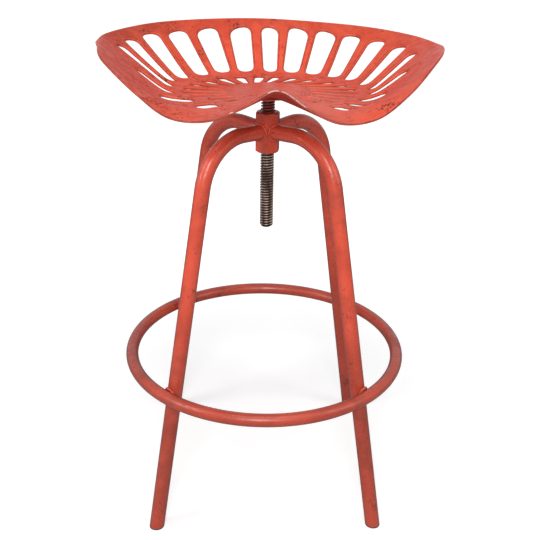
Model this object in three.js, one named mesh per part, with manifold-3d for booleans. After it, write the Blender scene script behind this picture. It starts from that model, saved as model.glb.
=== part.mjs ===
// Tractor seat stool: a dished, slotted steel seat on a screw that turns in the hub of a frame with
// four bent tube legs and a ring footrest. Millimetres, +Z up. The origin is on the floor, on the
// screw's axis, and the front of the seat faces -Y.
import * as THREE from "three";
import { mergeVertices } from "three/addons/utils/BufferGeometryUtils.js";
import Module from "manifold-3d";

const wasm = await Module();
wasm.setup();

// Clearances, the overrun that every cut uses, and how near two points are when they count as one
const fitGap = 0.3;
const overrun = 3;
const pointSpread = 0.0003;

// Frame: legs
const legCount = 4;
const legDiameter = 22;
const legWall = 2;
const legRootRise = 0.5;
const legSides = 14;
const footRadius = 232;
const legLean = THREE.MathUtils.degToRad(11.6);
const archSlope = THREE.MathUtils.degToRad(3.7);
const bendRadius = 75;
const bendSteps = 8;
const firstLegBearing = THREE.MathUtils.degToRad(45);
const plugLip = 2.5;
const plugDepth = 18;
const plugPlay = 0.3;

// Frame: hub, a long hexagon nut
const hubWidth = 32;
const hubLength = 58;
const hubMiddle = 568.5;
const hubBearing = THREE.MathUtils.degToRad(20);
const hubSides = 6;
const hubCorner = hubWidth / 2 / Math.cos(Math.PI / hubSides);
const hubFaceRadius = 15.2;
const chamferPitch = THREE.MathUtils.degToRad(35);
const countersinkRadius = 11.6;

// Frame: footrest ring
const ringDiameter = 19;
const ringWall = 1.5;
const ringHeight = 220;
const ringSteps = 40;
const ringSides = 10;
const ringSeam = 0.4;

// Screw
const screwDiameter = 20;
const screwPitch = 4;
const threadDepth = 2.25;
const threadPlay = 0.6;
const threadSteps = 12;
const screwLength = 198;
const screwChamfer = 2.5;

// Seat
const discTop = 626;
const seatThickness = 3;
const seatHalfWidth = 240;
const seatDepth = 69;
const discRadius = 54;
const seatBearing = THREE.MathUtils.degToRad(1.8);
const slotWidth = 32;
const ringSlotWidth = 17;
const slopeProbeShare = 0.01;
const seatSpokes = 54;
const longSlotMiddles = 2;
const ringSlotMiddles = 0;

// Plate under the seat, its welds and the collar round the screw
const plateSide = 66;
const plateThickness = 3;
const collarHeight = 4;
const collarSpread = 3;
const plateWeldLength = 17;
const plateWeldSize = 4;

// Welds on the frame
const hubWeldLength = 21;
const hubWeldSize = 7.5;
const ringWeldWidth = 18;
const ringWeldHeight = 22;
const ringWeldSize = 6.5;
const beadSides = 10;
const beadRings = 6;

// Finishes
const finish = (color, roughness, metalness) => () =>
  new THREE.MeshStandardMaterial({ color, roughness, metalness });
const seatPaint = finish(0xd9503a, 0.45, 0.1);
const framePaint = finish(0xc9482f, 0.5, 0.1);
const bareSteel = finish(0x5f5048, 0.4, 0.9);
const blackPlastic = finish(0x141414, 0.6, 0);

// Places that follow from the sizes above
const legRoot = hubMiddle + legRootRise;
const footOverrun = -legDiameter;
const slopeProbe = slopeProbeShare * discRadius;
const hubTop = hubMiddle + hubLength / 2;
const hubUnderside = hubMiddle - hubLength / 2;
const seatUnderside = discTop - seatThickness;
const plateUnderside = seatUnderside - plateThickness;
const screwEnd = seatUnderside - screwLength;

// From a closed geometry to a solid that can be joined or cut, and back to a named mesh
function solidOf(geometry) {
  const bare = geometry.clone();
  bare.deleteAttribute("normal");
  bare.deleteAttribute("uv");
  const merged = mergeVertices(bare, pointSpread);
  return new wasm.Manifold(
    new wasm.Mesh({
      numProp: 3,
      vertProperties: new Float32Array(merged.attributes.position.array),
      triVerts: new Uint32Array(merged.index.array),
    }),
  );
}

function meshOf(name, solid, material) {
  const { numProp, numVert, vertProperties, triVerts } = solid.getMesh();
  const places = new Float32Array(numVert * 3);
  for (let i = 0; i < numVert; i += 1) {
    places.set(vertProperties.subarray(i * numProp, i * numProp + 3), i * 3);
  }
  const geometry = new THREE.BufferGeometry();
  geometry.setAttribute("position", new THREE.BufferAttribute(places, 3));
  geometry.setIndex(new THREE.BufferAttribute(new Uint32Array(triVerts), 1));
  geometry.computeVertexNormals();
  const mesh = new THREE.Mesh(geometry, material());
  mesh.name = name;
  return mesh;
}

function geometryFrom(points, triangles) {
  const geometry = new THREE.BufferGeometry();
  const places = points.flatMap((p) => [p.x, p.y, p.z]);
  geometry.setAttribute("position", new THREE.Float32BufferAttribute(places, 3));
  geometry.setIndex(triangles);
  return geometry;
}

function lathe(profile, sides) {
  const points = profile.map(([radius, height]) => new THREE.Vector2(radius, height));
  return new THREE.LatheGeometry(points, sides).rotateX(Math.PI / 2);
}

// A curve through stations that each carry their own direction, so that a sweep has a ring at each
// station and none between them
class StationCurve extends THREE.Curve {
  constructor(stations) {
    super();
    this.stations = stations;
  }

  getPoint(t, target = new THREE.Vector3()) {
    const last = this.stations.length - 1;
    const before = Math.min(Math.floor(t * last), last - 1);
    const { at } = this.stations[before];
    return target.copy(at).lerp(this.stations[before + 1].at, t * last - before);
  }

  getTangent(t, target = new THREE.Vector3()) {
    return target.copy(this.stations[Math.round(t * (this.stations.length - 1))].along);
  }

  getUtoTmapping(u) {
    return u;
  }
}

function sweptTube(stations, outerRadius, innerRadius, sides) {
  const section = new THREE.Shape().absarc(0, 0, outerRadius, 0, 2 * Math.PI);
  if (innerRadius > 0) {
    section.holes.push(new THREE.Path().absarc(0, 0, innerRadius, 0, 2 * Math.PI, true));
  }
  return new THREE.ExtrudeGeometry(section, {
    curveSegments: sides / 2,
    steps: stations.length - 1,
    extrudePath: new StationCurve(stations),
  });
}

// A weld bead before its neighbours cut it: a low ellipsoid
function bead(x, y, z, halfX, halfY, halfZ) {
  const ball = new THREE.SphereGeometry(1, beadSides, beadRings).rotateX(Math.PI / 2);
  return ball.scale(halfX, halfY, halfZ).translate(x, y, z);
}

// Legs: the centre line lies in an upright plane through the axis, as reach from the axis and height
function legStations(foot) {
  const slope = new THREE.Vector2(Math.cos(archSlope), Math.sin(archSlope));
  const down = new THREE.Vector2(Math.sin(legLean), -Math.cos(legLean));
  const cornerReach =
    (footRadius - Math.tan(legLean) * legRoot) / (1 + Math.tan(legLean) * Math.tan(archSlope));
  const corner = new THREE.Vector2(cornerReach, legRoot + Math.tan(archSlope) * cornerReach);
  const turn = Math.PI / 2 + archSlope - legLean;
  const tangent = bendRadius * Math.tan(turn / 2);
  const bendStart = corner.clone().addScaledVector(slope, -tangent);
  const centre = bendStart.clone().addScaledVector(new THREE.Vector2(slope.y, -slope.x), bendRadius);
  const station = (point, direction) => ({
    at: new THREE.Vector3(point.x, 0, point.y),
    along: new THREE.Vector3(direction.x, 0, direction.y),
  });
  const stations = [station(new THREE.Vector2(0, legRoot), slope)];
  for (let i = 0; i <= bendSteps; i += 1) {
    const angle = Math.PI / 2 + archSlope - (turn * i) / bendSteps;
    const spoke = new THREE.Vector2(Math.cos(angle), Math.sin(angle));
    const onBend = centre.clone().addScaledVector(spoke, bendRadius);
    stations.push(station(onBend, new THREE.Vector2(spoke.y, -spoke.x)));
  }
  const footAt = new THREE.Vector2(footRadius - Math.tan(legLean) * foot, foot);
  stations.push(station(footAt, down));
  return stations;
}

const legAxisReach = (height) => footRadius - Math.tan(legLean) * height;

function hexPrism(width, low, high) {
  const corner = (hubCorner * width) / hubWidth;
  const prism = new THREE.CylinderGeometry(corner, corner, high - low, hubSides);
  // the cylinder has its first corner on +Z before it is stood up, which is -Y after
  prism.rotateX(Math.PI / 2).rotateZ(Math.PI / 2 + hubBearing);
  return solidOf(prism.translate(0, 0, (low + high) / 2));
}

function slab(low, high) {
  const side = 4 * footRadius;
  const box = new THREE.BoxGeometry(side, side, high - low);
  return solidOf(box.translate(0, 0, (low + high) / 2));
}

function legBody(outerRadius, innerRadius, foot) {
  return solidOf(sweptTube(legStations(foot), outerRadius, innerRadius, legSides));
}

// Each leg keeps to its own quarter, so that neighbours meet on a mitre in front of the hub
function quarter() {
  const side = 2 * footRadius;
  const corner = new THREE.BoxGeometry(side, side, 2 * discTop).rotateZ(Math.PI / 4);
  return solidOf(corner.translate((side + fitGap) / Math.SQRT2, 0, 0));
}

function buildLeg(turn) {
  return legBody(legDiameter / 2, legDiameter / 2 - legWall, footOverrun)
    .intersect(quarter())
    .subtract(hubSocket(turn))
    .subtract(slab(2 * footOverrun, plugLip));
}

// The hub as a leg meets it, seen from that leg's own plane
function hubSocket(turn) {
  const socket = hexPrism(hubWidth + 2 * fitGap, hubUnderside - overrun, hubTop + overrun);
  return socket.rotate([0, 0, -THREE.MathUtils.radToDeg(turn)]);
}

// Foot plug: a lip as wide as the tube and a spigot up its bore
function buildPlug() {
  const spigotRadius = legDiameter / 2 - legWall - plugPlay;
  const lip = legBody(legDiameter / 2, 0, footOverrun).intersect(slab(0, plugLip));
  const spigot = legBody(spigotRadius, 0, footOverrun).intersect(slab(plugLip / 2, plugDepth));
  return lip.add(spigot);
}

// Thread: rows of crest and root that climb one pitch a turn, closed by a fan at each end
function threadedRod(growth, low, high) {
  const crest = screwDiameter / 2 + growth;
  const root = crest - threadDepth;
  const rows = 2 * Math.ceil((high - low) / screwPitch + 2);
  const points = [];
  for (let j = 0; j <= threadSteps; j += 1) {
    const angle = (2 * Math.PI * (j % threadSteps)) / threadSteps;
    for (let k = 0; k <= rows; k += 1) {
      const radius = k % 2 ? crest : root;
      const height = screwPitch * (Math.floor(low / screwPitch) - 1 + k / 2 + j / threadSteps);
      points.push(new THREE.Vector3(radius * Math.cos(angle), radius * Math.sin(angle), height));
    }
  }
  const index = (j, k) => j * (rows + 1) + k;
  const bottom = points.push(new THREE.Vector3(0, 0, points[0].z)) - 1;
  const top = points.push(new THREE.Vector3(0, 0, points[bottom - 1].z)) - 1;
  const triangles = [];
  for (let j = 0; j < threadSteps; j += 1) {
    for (let k = 0; k < rows; k += 1) {
      triangles.push(index(j, k), index(j + 1, k), index(j + 1, k + 1));
      triangles.push(index(j, k), index(j + 1, k + 1), index(j, k + 1));
    }
    triangles.push(index(j + 1, 0), index(j, 0), bottom);
    triangles.push(index(j, rows), index(j + 1, rows), top);
  }
  for (const k of [0, 1]) {
    triangles.push(index(0, k), index(0, k + 1), bottom);
    triangles.push(index(threadSteps, rows - k), index(threadSteps, rows - k - 1), top);
  }
  return solidOf(geometryFrom(points, triangles));
}

function buildScrew() {
  const outside = screwDiameter / 2 + overrun;
  const envelope = lathe(
    [
      [0, screwEnd],
      [screwDiameter / 2 - screwChamfer, screwEnd],
      [screwDiameter / 2, screwEnd + screwChamfer],
      [outside, screwEnd + screwChamfer + overrun],
      [outside, seatUnderside],
      [0, seatUnderside],
    ],
    threadSteps,
  );
  return threadedRod(0, screwEnd, seatUnderside).intersect(solidOf(envelope));
}

function buildHub() {
  const chamfer = (hubCorner + overrun - hubFaceRadius) * Math.tan(chamferPitch);
  const chamfered = lathe(
    [
      [0, hubUnderside],
      [hubFaceRadius, hubUnderside],
      [hubCorner + overrun, hubUnderside + chamfer],
      [hubCorner + overrun, hubTop - chamfer],
      [hubFaceRadius, hubTop],
      [0, hubTop],
    ],
    2 * threadSteps,
  );
  const sink = (face, outward) => {
    const cone = [
      [0, face - outward * countersinkRadius],
      [countersinkRadius + overrun, face + outward * overrun],
      [0, face + outward * overrun],
    ];
    return solidOf(lathe(outward > 0 ? cone : cone.reverse(), 2 * threadSteps));
  };
  return hexPrism(hubWidth, hubUnderside - overrun, hubTop + overrun)
    .intersect(solidOf(chamfered))
    .subtract(threadedRod(threadPlay, hubUnderside - overrun, hubTop + overrun))
    .subtract(sink(hubTop, 1))
    .subtract(sink(hubUnderside, -1));
}

// Footrest ring: a tube bent round outside the legs, its ends butted at the back
const ringReach =
  legAxisReach(ringHeight) +
  (legDiameter / 2 + ringDiameter / 2 + fitGap) / Math.cos(legLean);

function ringStations() {
  const stations = [];
  const seam = ringSeam / ringReach;
  for (let i = 0; i <= ringSteps; i += 1) {
    const ends = i === 0 ? seam / 2 : i === ringSteps ? -seam / 2 : 0;
    const angle = Math.PI / 2 + (2 * Math.PI * i) / ringSteps + ends;
    stations.push({
      at: new THREE.Vector3(Math.cos(angle) * ringReach, Math.sin(angle) * ringReach, ringHeight),
      along: new THREE.Vector3(-Math.sin(angle), Math.cos(angle), 0),
    });
  }
  return stations;
}

function buildRing(growth, wall) {
  const outer = ringDiameter / 2 + growth;
  return solidOf(sweptTube(ringStations(), outer, wall ? outer - wall : 0, ringSides));
}

// Ring welds: one bead round the place where the ring lies against a leg, in the leg's plane
function buildRingWeld(turn) {
  const touch = legAxisReach(ringHeight) + (legDiameter / 2 + fitGap / 2) / Math.cos(legLean);
  const blob = bead(touch, 0, ringHeight, ringWeldSize, ringWeldWidth / 2, ringWeldHeight / 2);
  return solidOf(blob)
    .subtract(legBody(legDiameter / 2 + fitGap, 0, footOverrun))
    .subtract(buildRing(fitGap, 0).rotate([0, 0, -THREE.MathUtils.radToDeg(turn)]));
}

// Hub welds: one bead in each corner between two neighbouring legs, standing on the hub
function buildHubWeld(turn) {
  const nextLeg = 360 / legCount;
  const leg = legBody(legDiameter / 2 + fitGap, 0, footOverrun);
  const blob = bead(hubCorner, 0, legRoot, hubWeldSize / 2, hubWeldSize, hubWeldLength / 2);
  const cut = solidOf(blob)
    .subtract(leg.rotate([0, 0, nextLeg / 2]))
    .subtract(leg.rotate([0, 0, -nextLeg / 2]));
  return largest(cut.subtract(hubSocket(turn)));
}

function largest(solid) {
  const pieces = solid.decompose();
  return pieces.reduce((best, piece) => (piece.volume() > best.volume() ? piece : best));
}

// Seat rim from the pommel by the right side and the back to the left side, which isn't quite the
// mirror of the right. Each row holds the bearing in degrees from the right, the reach as a share of
// half the width, the rise above the disc as a share of the seat's depth, the flat radius as a share
// of the disc's, and the knee, which is how far out from disc to rim the dish turns up.
const rimShares = [
  [-90, 0.698, 0.565, 0.56, 0],
  [-76, 0.673, 0.217, 0.5, 0],
  [-62, 0.734, -0.067, 0.76, 0],
  [-50, 0.83, 0.012, 1, 0.56],
  [-38, 0.896, 0.386, 1, 0.59],
  [-24, 0.955, 0.848, 1, 0.59],
  [-8, 0.983, 0.953, 1, 0.51],
  [10, 1.019, 0.877, 1, 0.46],
  [28, 1.052, 0.853, 1, 0.42],
  [48, 1.024, 0.881, 1, 0.4],
  [68, 0.91, 0.948, 1, 0.4],
  [90, 0.837, 1.012, 1, 0.4],
  [112, 0.921, 0.986, 1, 0.4],
  [132, 1.029, 0.942, 1, 0.4],
  [152, 1.07, 0.882, 1, 0.42],
  [170, 0.999, 0.91, 1, 0.46],
  [188, 0.956, 0.988, 1, 0.52],
  [204, 0.971, 0.862, 1, 0.58],
  [218, 0.901, 0.389, 1, 0.6],
  [230, 0.851, 0.049, 1, 0.5],
  [242, 0.768, 0.007, 0.85, 0.1],
  [256, 0.742, 0.27, 0.6, 0],
];

// Long slots outside the waist: bearings of the outer and the inner end in degrees, how far out each
// end lies as a share of the way from disc to rim, and the width at each end as a share of slotWidth
const longSlotShares = [
  [86, 85, 0.908, 0.404, 0.84, 0.6],
  [100.3, 102.9, 0.904, 0.403, 1.04, 0.72],
  [114.9, 118.7, 0.902, 0.399, 1.06, 0.72],
  [127.1, 133.8, 0.893, 0.385, 1, 0.66],
  [137.9, 149.2, 0.906, 0.405, 0.93, 0.6],
  [148.1, 160.6, 0.892, 0.442, 0.73, 0.52],
  [157, 172.3, 0.877, 0.431, 0.58, 0.46],
  [176.1, 187.6, 0.719, 0.435, 0.72, 0.48],
  [199.4, 208.1, 0.566, 0.348, 0.8, 0.66],
  [222.9, 226.3, 0.51, 0.305, 0.76, 0.64],
  [72.6, 70.1, 0.913, 0.395, 0.98, 0.7],
  [60.7, 55.1, 0.902, 0.383, 1, 0.68],
  [50.3, 39.8, 0.885, 0.386, 0.9, 0.6],
  [38.7, 26.8, 0.876, 0.411, 0.86, 0.58],
  [26.3, 11.8, 0.87, 0.437, 0.76, 0.52],
  [14.1, -1.4, 0.858, 0.469, 0.58, 0.4],
  [-2.8, -11.1, 0.743, 0.464, 0.78, 0.4],
  [-17.6, -25.8, 0.609, 0.449, 0.78, 0.6],
  [-36.8, -34.1, 0.652, 0.406, 0.5, 0.45],
  [-46.4, -46, 0.601, 0.399, 0.5, 0.48],
];

// Short slots round the disc: bearing of the outer end, its place from disc to rim, and its width as
// a share of ringSlotWidth. Their inner ends are spread evenly round the disc.
const ringSlotShares = [
  [-42.3, 0.22, 0.5],
  [-35.6, 0.324, 0.5],
  [-25.4, 0.338, 0.6],
  [-16.4, 0.368, 0.65],
  [-6.4, 0.388, 0.8],
  [3.2, 0.373, 1],
  [16, 0.336, 1],
  [29.6, 0.301, 1],
  [46, 0.262, 1],
  [61.2, 0.264, 1],
  [77.9, 0.28, 0.9],
  [93.8, 0.293, 0.9],
  [112.4, 0.281, 1],
  [128.4, 0.288, 1],
  [144.2, 0.281, 1],
  [159, 0.314, 1],
  [172.8, 0.352, 1],
  [184.6, 0.369, 0.85],
  [196.2, 0.324, 0.75],
  [209.9, 0.238, 0.75],
  [223.9, 0.187, 0.75],
];
const ringSlotStartShare = 0.03;
const ringSlotNeckShare = 0.42;
const firstRingSlot = -46;
const lastRingSlot = 226;
const dishShares = [0, 0.14, 0.28, 0.4, 0.5, 0.6, 0.78, 1];
const capShares = [0.05, 0.38, 1];
const capLengthShare = 0.42;
const capSharpness = 2.5;
const kneeSoftShare = 0.09;

// One row of the rim table at any bearing, eased between its neighbours
function rimRow(bearing) {
  const count = rimShares.length;
  const turned = THREE.MathUtils.euclideanModulo(bearing - rimShares[0][0], 360);
  const from = (i) => rimShares[i % count][0] - rimShares[0][0] + 360 * Math.floor(i / count);
  let here = count;
  while (from(here) > turned + 360) here -= 1;
  while (from(here + 1) <= turned + 360) here += 1;
  const at = [here - 1, here, here + 1, here + 2];
  const [a, b, c, d] = at.map(from);
  const share = (turned + 360 - b) / (c - b);
  return rimShares[0].map((unused, column) => {
    const [p, q, r, s] = at.map((i) => rimShares[i % count][column]);
    const startSlope = ((r - p) / (c - a)) * (c - b);
    const endSlope = ((s - q) / (d - b)) * (c - b);
    return cubic(q, r, startSlope, endSlope, share);
  });
}

function cubic(start, end, startSlope, endSlope, t) {
  const t2 = t * t;
  const t3 = t2 * t;
  const rise = 3 * t2 - 2 * t3;
  return start + (end - start) * rise + startSlope * (t3 - 2 * t2 + t) + endSlope * (t3 - t2);
}

// The dish as a height over the plan, and points on it
function dish(bearing) {
  const [, reach, rise, flat, knee] = rimRow(bearing);
  return { rim: reach * seatHalfWidth, rise: rise * seatDepth, flat: flat * discRadius, knee };
}

// Level up to zero and straight after it, with a soft turn between
const turnedUp = (share) => share + Math.hypot(share, kneeSoftShare);

function heightAt(x, y) {
  const { rim, rise, flat, knee } = dish(THREE.MathUtils.radToDeg(Math.atan2(y, x)));
  const share = Math.max(0, (Math.hypot(x, y) - flat) / (rim - flat));
  const start = turnedUp(-knee);
  return discTop + (rise * (turnedUp(share - knee) - start)) / (turnedUp(1 - knee) - start);
}

function planPoint(bearing, share) {
  const { rim, flat } = dish(bearing);
  const reach = flat + share * (rim - flat);
  const angle = THREE.MathUtils.degToRad(bearing);
  return new THREE.Vector2(Math.cos(angle) * reach, Math.sin(angle) * reach);
}

function onDish(plan, offset) {
  const { x, y } = plan;
  const slopeX = heightAt(x + slopeProbe, y) - heightAt(x - slopeProbe, y);
  const slopeY = heightAt(x, y + slopeProbe) - heightAt(x, y - slopeProbe);
  const normal = new THREE.Vector3(-slopeX, -slopeY, 2 * slopeProbe).normalize();
  return new THREE.Vector3(x, y, heightAt(x, y)).addScaledVector(normal, offset);
}

// The seat's sheet before its slots: rings of points on both faces, closed at the disc and the rim
function seatSheet() {
  const points = [];
  const triangles = [];
  const rings = dishShares.length;
  const faces = [0, -seatThickness].map((offset) => {
    const centre = points.push(onDish(new THREE.Vector2(0, 0), offset)) - 1;
    for (const share of dishShares) {
      for (let i = 0; i < seatSpokes; i += 1) {
        points.push(onDish(planPoint((360 * i) / seatSpokes, share), offset));
      }
    }
    return (ring, spoke) => (ring < 0 ? centre : centre + 1 + ring * seatSpokes + (spoke % seatSpokes));
  });
  faces.forEach((at, under) => {
    const face = (a, b, c) => triangles.push(...(under ? [a, c, b] : [a, b, c]));
    for (let i = 0; i < seatSpokes; i += 1) {
      face(at(-1), at(0, i), at(0, i + 1));
      for (let ring = 0; ring < rings - 1; ring += 1) {
        face(at(ring, i), at(ring + 1, i), at(ring + 1, i + 1));
        face(at(ring, i), at(ring + 1, i + 1), at(ring, i + 1));
      }
    }
  });
  const [over, under] = faces;
  for (let i = 0; i < seatSpokes; i += 1) {
    triangles.push(over(rings - 1, i), under(rings - 1, i), under(rings - 1, i + 1));
    triangles.push(over(rings - 1, i), under(rings - 1, i + 1), over(rings - 1, i + 1));
  }
  return solidOf(geometryFrom(points, triangles));
}

// Width stations along a slot: rounded ends and straight sides between them
function slotStations(outerEnd, innerEnd, outerWidth, innerWidth, middles) {
  const length = outerEnd.distanceTo(innerEnd);
  const widthAt = (share) => THREE.MathUtils.lerp(outerWidth, innerWidth, share) / 2;
  const rounded = (share) => (1 - (1 - share) ** capSharpness) ** (1 / capSharpness);
  const outerCap = (capLengthShare * outerWidth) / length;
  const innerCap = (capLengthShare * innerWidth) / length;
  const stations = capShares.map((c) => [c * outerCap, widthAt(c * outerCap) * rounded(c)]);
  for (let i = 1; i <= middles; i += 1) {
    const share = THREE.MathUtils.lerp(outerCap, 1 - innerCap, i / (middles + 1));
    stations.push([share, widthAt(share)]);
  }
  for (const c of [...capShares].reverse()) {
    stations.push([1 - c * innerCap, widthAt(1 - c * innerCap) * rounded(c)]);
  }
  return stations;
}

function slotCutter(outerEnd, innerEnd, outerWidth, innerWidth, middles) {
  const along = innerEnd.clone().sub(outerEnd);
  const across = new THREE.Vector2(-along.y, along.x).normalize();
  const points = [];
  const stations = slotStations(outerEnd, innerEnd, outerWidth, innerWidth, middles);
  for (const [share, halfWidth] of stations) {
    const middle = outerEnd.clone().addScaledVector(along, share);
    for (const side of [-1, 1]) {
      const edge = middle.clone().addScaledVector(across, side * halfWidth);
      points.push(onDish(edge, overrun), onDish(edge, -seatThickness - overrun));
    }
  }
  // each station has four points: right top, right bottom, left top, left bottom
  const triangles = [];
  const quad = (a, b, c, d) => triangles.push(a, b, c, a, c, d);
  for (let i = 0; i < stations.length - 1; i += 1) {
    const s = 4 * i;
    quad(s, s + 4, s + 6, s + 2);
    quad(s + 1, s + 3, s + 7, s + 5);
    quad(s, s + 1, s + 5, s + 4);
    quad(s + 2, s + 6, s + 7, s + 3);
  }
  const end = 4 * (stations.length - 1);
  quad(0, 2, 3, 1);
  quad(end, end + 1, end + 3, end + 2);
  return solidOf(geometryFrom(points, triangles));
}

function buildSeat() {
  let seat = seatSheet();
  for (const [outer, inner, outerShare, innerShare, outerWide, innerWide] of longSlotShares) {
    const cutter = slotCutter(
      planPoint(outer, outerShare),
      planPoint(inner, innerShare),
      outerWide * slotWidth,
      innerWide * slotWidth,
      longSlotMiddles,
    );
    seat = seat.subtract(cutter);
  }
  ringSlotShares.forEach(([bearing, outerShare, wide], i) => {
    const inner = THREE.MathUtils.lerp(firstRingSlot, lastRingSlot, i / (ringSlotShares.length - 1));
    const cutter = slotCutter(
      planPoint(bearing, outerShare),
      planPoint(inner, ringSlotStartShare),
      wide * ringSlotWidth,
      ringSlotNeckShare * ringSlotWidth,
      ringSlotMiddles,
    );
    seat = seat.subtract(cutter);
  });
  return seat;
}

// Plate under the disc, bored for the screw
function buildPlate() {
  const plate = new THREE.BoxGeometry(plateSide, plateSide, plateThickness);
  plate.translate(0, 0, seatUnderside - plateThickness / 2);
  const boreRadius = screwDiameter / 2 + fitGap;
  const bore = new THREE.CylinderGeometry(
    boreRadius,
    boreRadius,
    plateThickness + 2 * overrun,
    2 * threadSteps,
  );
  bore.rotateX(Math.PI / 2).translate(0, 0, seatUnderside - plateThickness / 2);
  return solidOf(plate).subtract(solidOf(bore));
}

function buildPlateWeld() {
  const reach = plateSide / 2 + fitGap;
  const blob = solidOf(
    bead(reach, 0, seatUnderside, plateWeldSize, plateWeldLength / 2, plateWeldSize),
  );
  const keep = new THREE.BoxGeometry(plateSide, plateSide, plateWeldSize + overrun);
  keep.translate(reach + plateSide / 2, 0, seatUnderside - fitGap - (plateWeldSize + overrun) / 2);
  return blob.intersect(solidOf(keep));
}

// Collar: the weld ring that closes the joint of screw and plate
function buildCollar() {
  const bore = screwDiameter / 2 + fitGap;
  return solidOf(
    lathe(
      [
        [bore, plateUnderside],
        [bore, plateUnderside - collarHeight],
        [bore + collarSpread / 2, plateUnderside - collarHeight],
        [bore + collarSpread, plateUnderside],
        [bore, plateUnderside],
      ],
      2 * threadSteps,
    ),
  );
}

// Assembly
const stool = new THREE.Group();
const frameGroup = new THREE.Group();
const seatGroup = new THREE.Group();
seatGroup.rotation.z = seatBearing;
stool.add(frameGroup, seatGroup);

const cornerNames = ["back_right", "back_left", "front_left", "front_right"];
const sideNames = ["right", "back", "left", "front"];

cornerNames.forEach((name, i) => {
  const turn = firstLegBearing + (2 * Math.PI * i) / legCount;
  const corner = new THREE.Group();
  corner.rotation.z = turn;
  corner.add(
    meshOf(`leg_${name}`, buildLeg(turn), framePaint),
    meshOf(`foot_plug_${name}`, buildPlug(), blackPlastic),
    meshOf(`ring_weld_${name}`, buildRingWeld(turn), framePaint),
  );
  frameGroup.add(corner);
});

sideNames.forEach((name, i) => {
  const turn = (2 * Math.PI * i) / legCount;
  const hubWeld = meshOf(`hub_weld_${name}`, buildHubWeld(turn), framePaint);
  hubWeld.rotation.z = turn;
  frameGroup.add(hubWeld);
  const plateWeld = meshOf(`plate_weld_${name}`, buildPlateWeld(), seatPaint);
  plateWeld.rotation.z = turn;
  seatGroup.add(plateWeld);
});

frameGroup.add(meshOf("hub_nut", buildHub(), framePaint));
frameGroup.add(meshOf("footrest_ring", buildRing(0, ringWall), framePaint));

seatGroup.add(meshOf("seat_pan", buildSeat(), seatPaint));
seatGroup.add(meshOf("seat_plate", buildPlate(), seatPaint));
stool.add(meshOf("height_screw", buildScrew(), bareSteel));
stool.add(meshOf("screw_collar", buildCollar(), seatPaint));

export default stool;
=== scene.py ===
"""Tractor seat stool: smooth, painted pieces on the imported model, with its studio and its camera.

Every size is in millimetres in the classes below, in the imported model's own frame: +Z up, the screw
on the Z axis and the front of the seat towards -Y. Meshes are scaled to metres when they are made.
"""

from __future__ import annotations

import logging
import math
from dataclasses import dataclass, field
from enum import Enum
from typing import Any, Iterable, Sequence

import bpy
import numpy as np
from bpy.types import Material, Mesh, Node, NodeSocket, NodeTree, Object
from mathutils import Matrix, Vector
from mathutils.geometry import delaunay_2d_cdt
from mathutils.kdtree import KDTree


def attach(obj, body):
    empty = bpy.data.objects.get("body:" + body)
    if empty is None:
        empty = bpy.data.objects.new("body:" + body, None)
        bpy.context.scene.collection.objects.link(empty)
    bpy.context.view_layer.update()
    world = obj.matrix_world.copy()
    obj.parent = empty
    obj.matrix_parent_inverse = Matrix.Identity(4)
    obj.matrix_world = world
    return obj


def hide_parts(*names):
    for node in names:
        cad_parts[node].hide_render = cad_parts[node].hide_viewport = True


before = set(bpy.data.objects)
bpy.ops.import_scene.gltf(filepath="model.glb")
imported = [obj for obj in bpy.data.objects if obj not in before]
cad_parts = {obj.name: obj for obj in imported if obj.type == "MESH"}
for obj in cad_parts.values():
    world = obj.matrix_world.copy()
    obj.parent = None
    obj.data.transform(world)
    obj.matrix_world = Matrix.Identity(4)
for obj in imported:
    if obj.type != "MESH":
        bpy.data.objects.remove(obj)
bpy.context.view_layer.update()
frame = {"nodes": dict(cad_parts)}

MM = 0.001
CORNERS = {"back_right": 45.0, "back_left": 135.0, "front_left": 225.0, "front_right": 315.0}
SIDES = {"right": 0.0, "back": 90.0, "left": 180.0, "front": 270.0}

log = logging.getLogger("stool")


class Body(Enum):
    """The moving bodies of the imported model."""

    FRAME = "frame"
    LIFT = "lift"
    SEAT = "seat"


class Slot(Enum):
    """The material slots."""

    SEAT_PAINT = "seat_paint"
    FRAME_PAINT = "frame_paint"
    BARE_STEEL = "bare_steel"
    BLACK_PLASTIC = "black_plastic"


# Node trees


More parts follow.
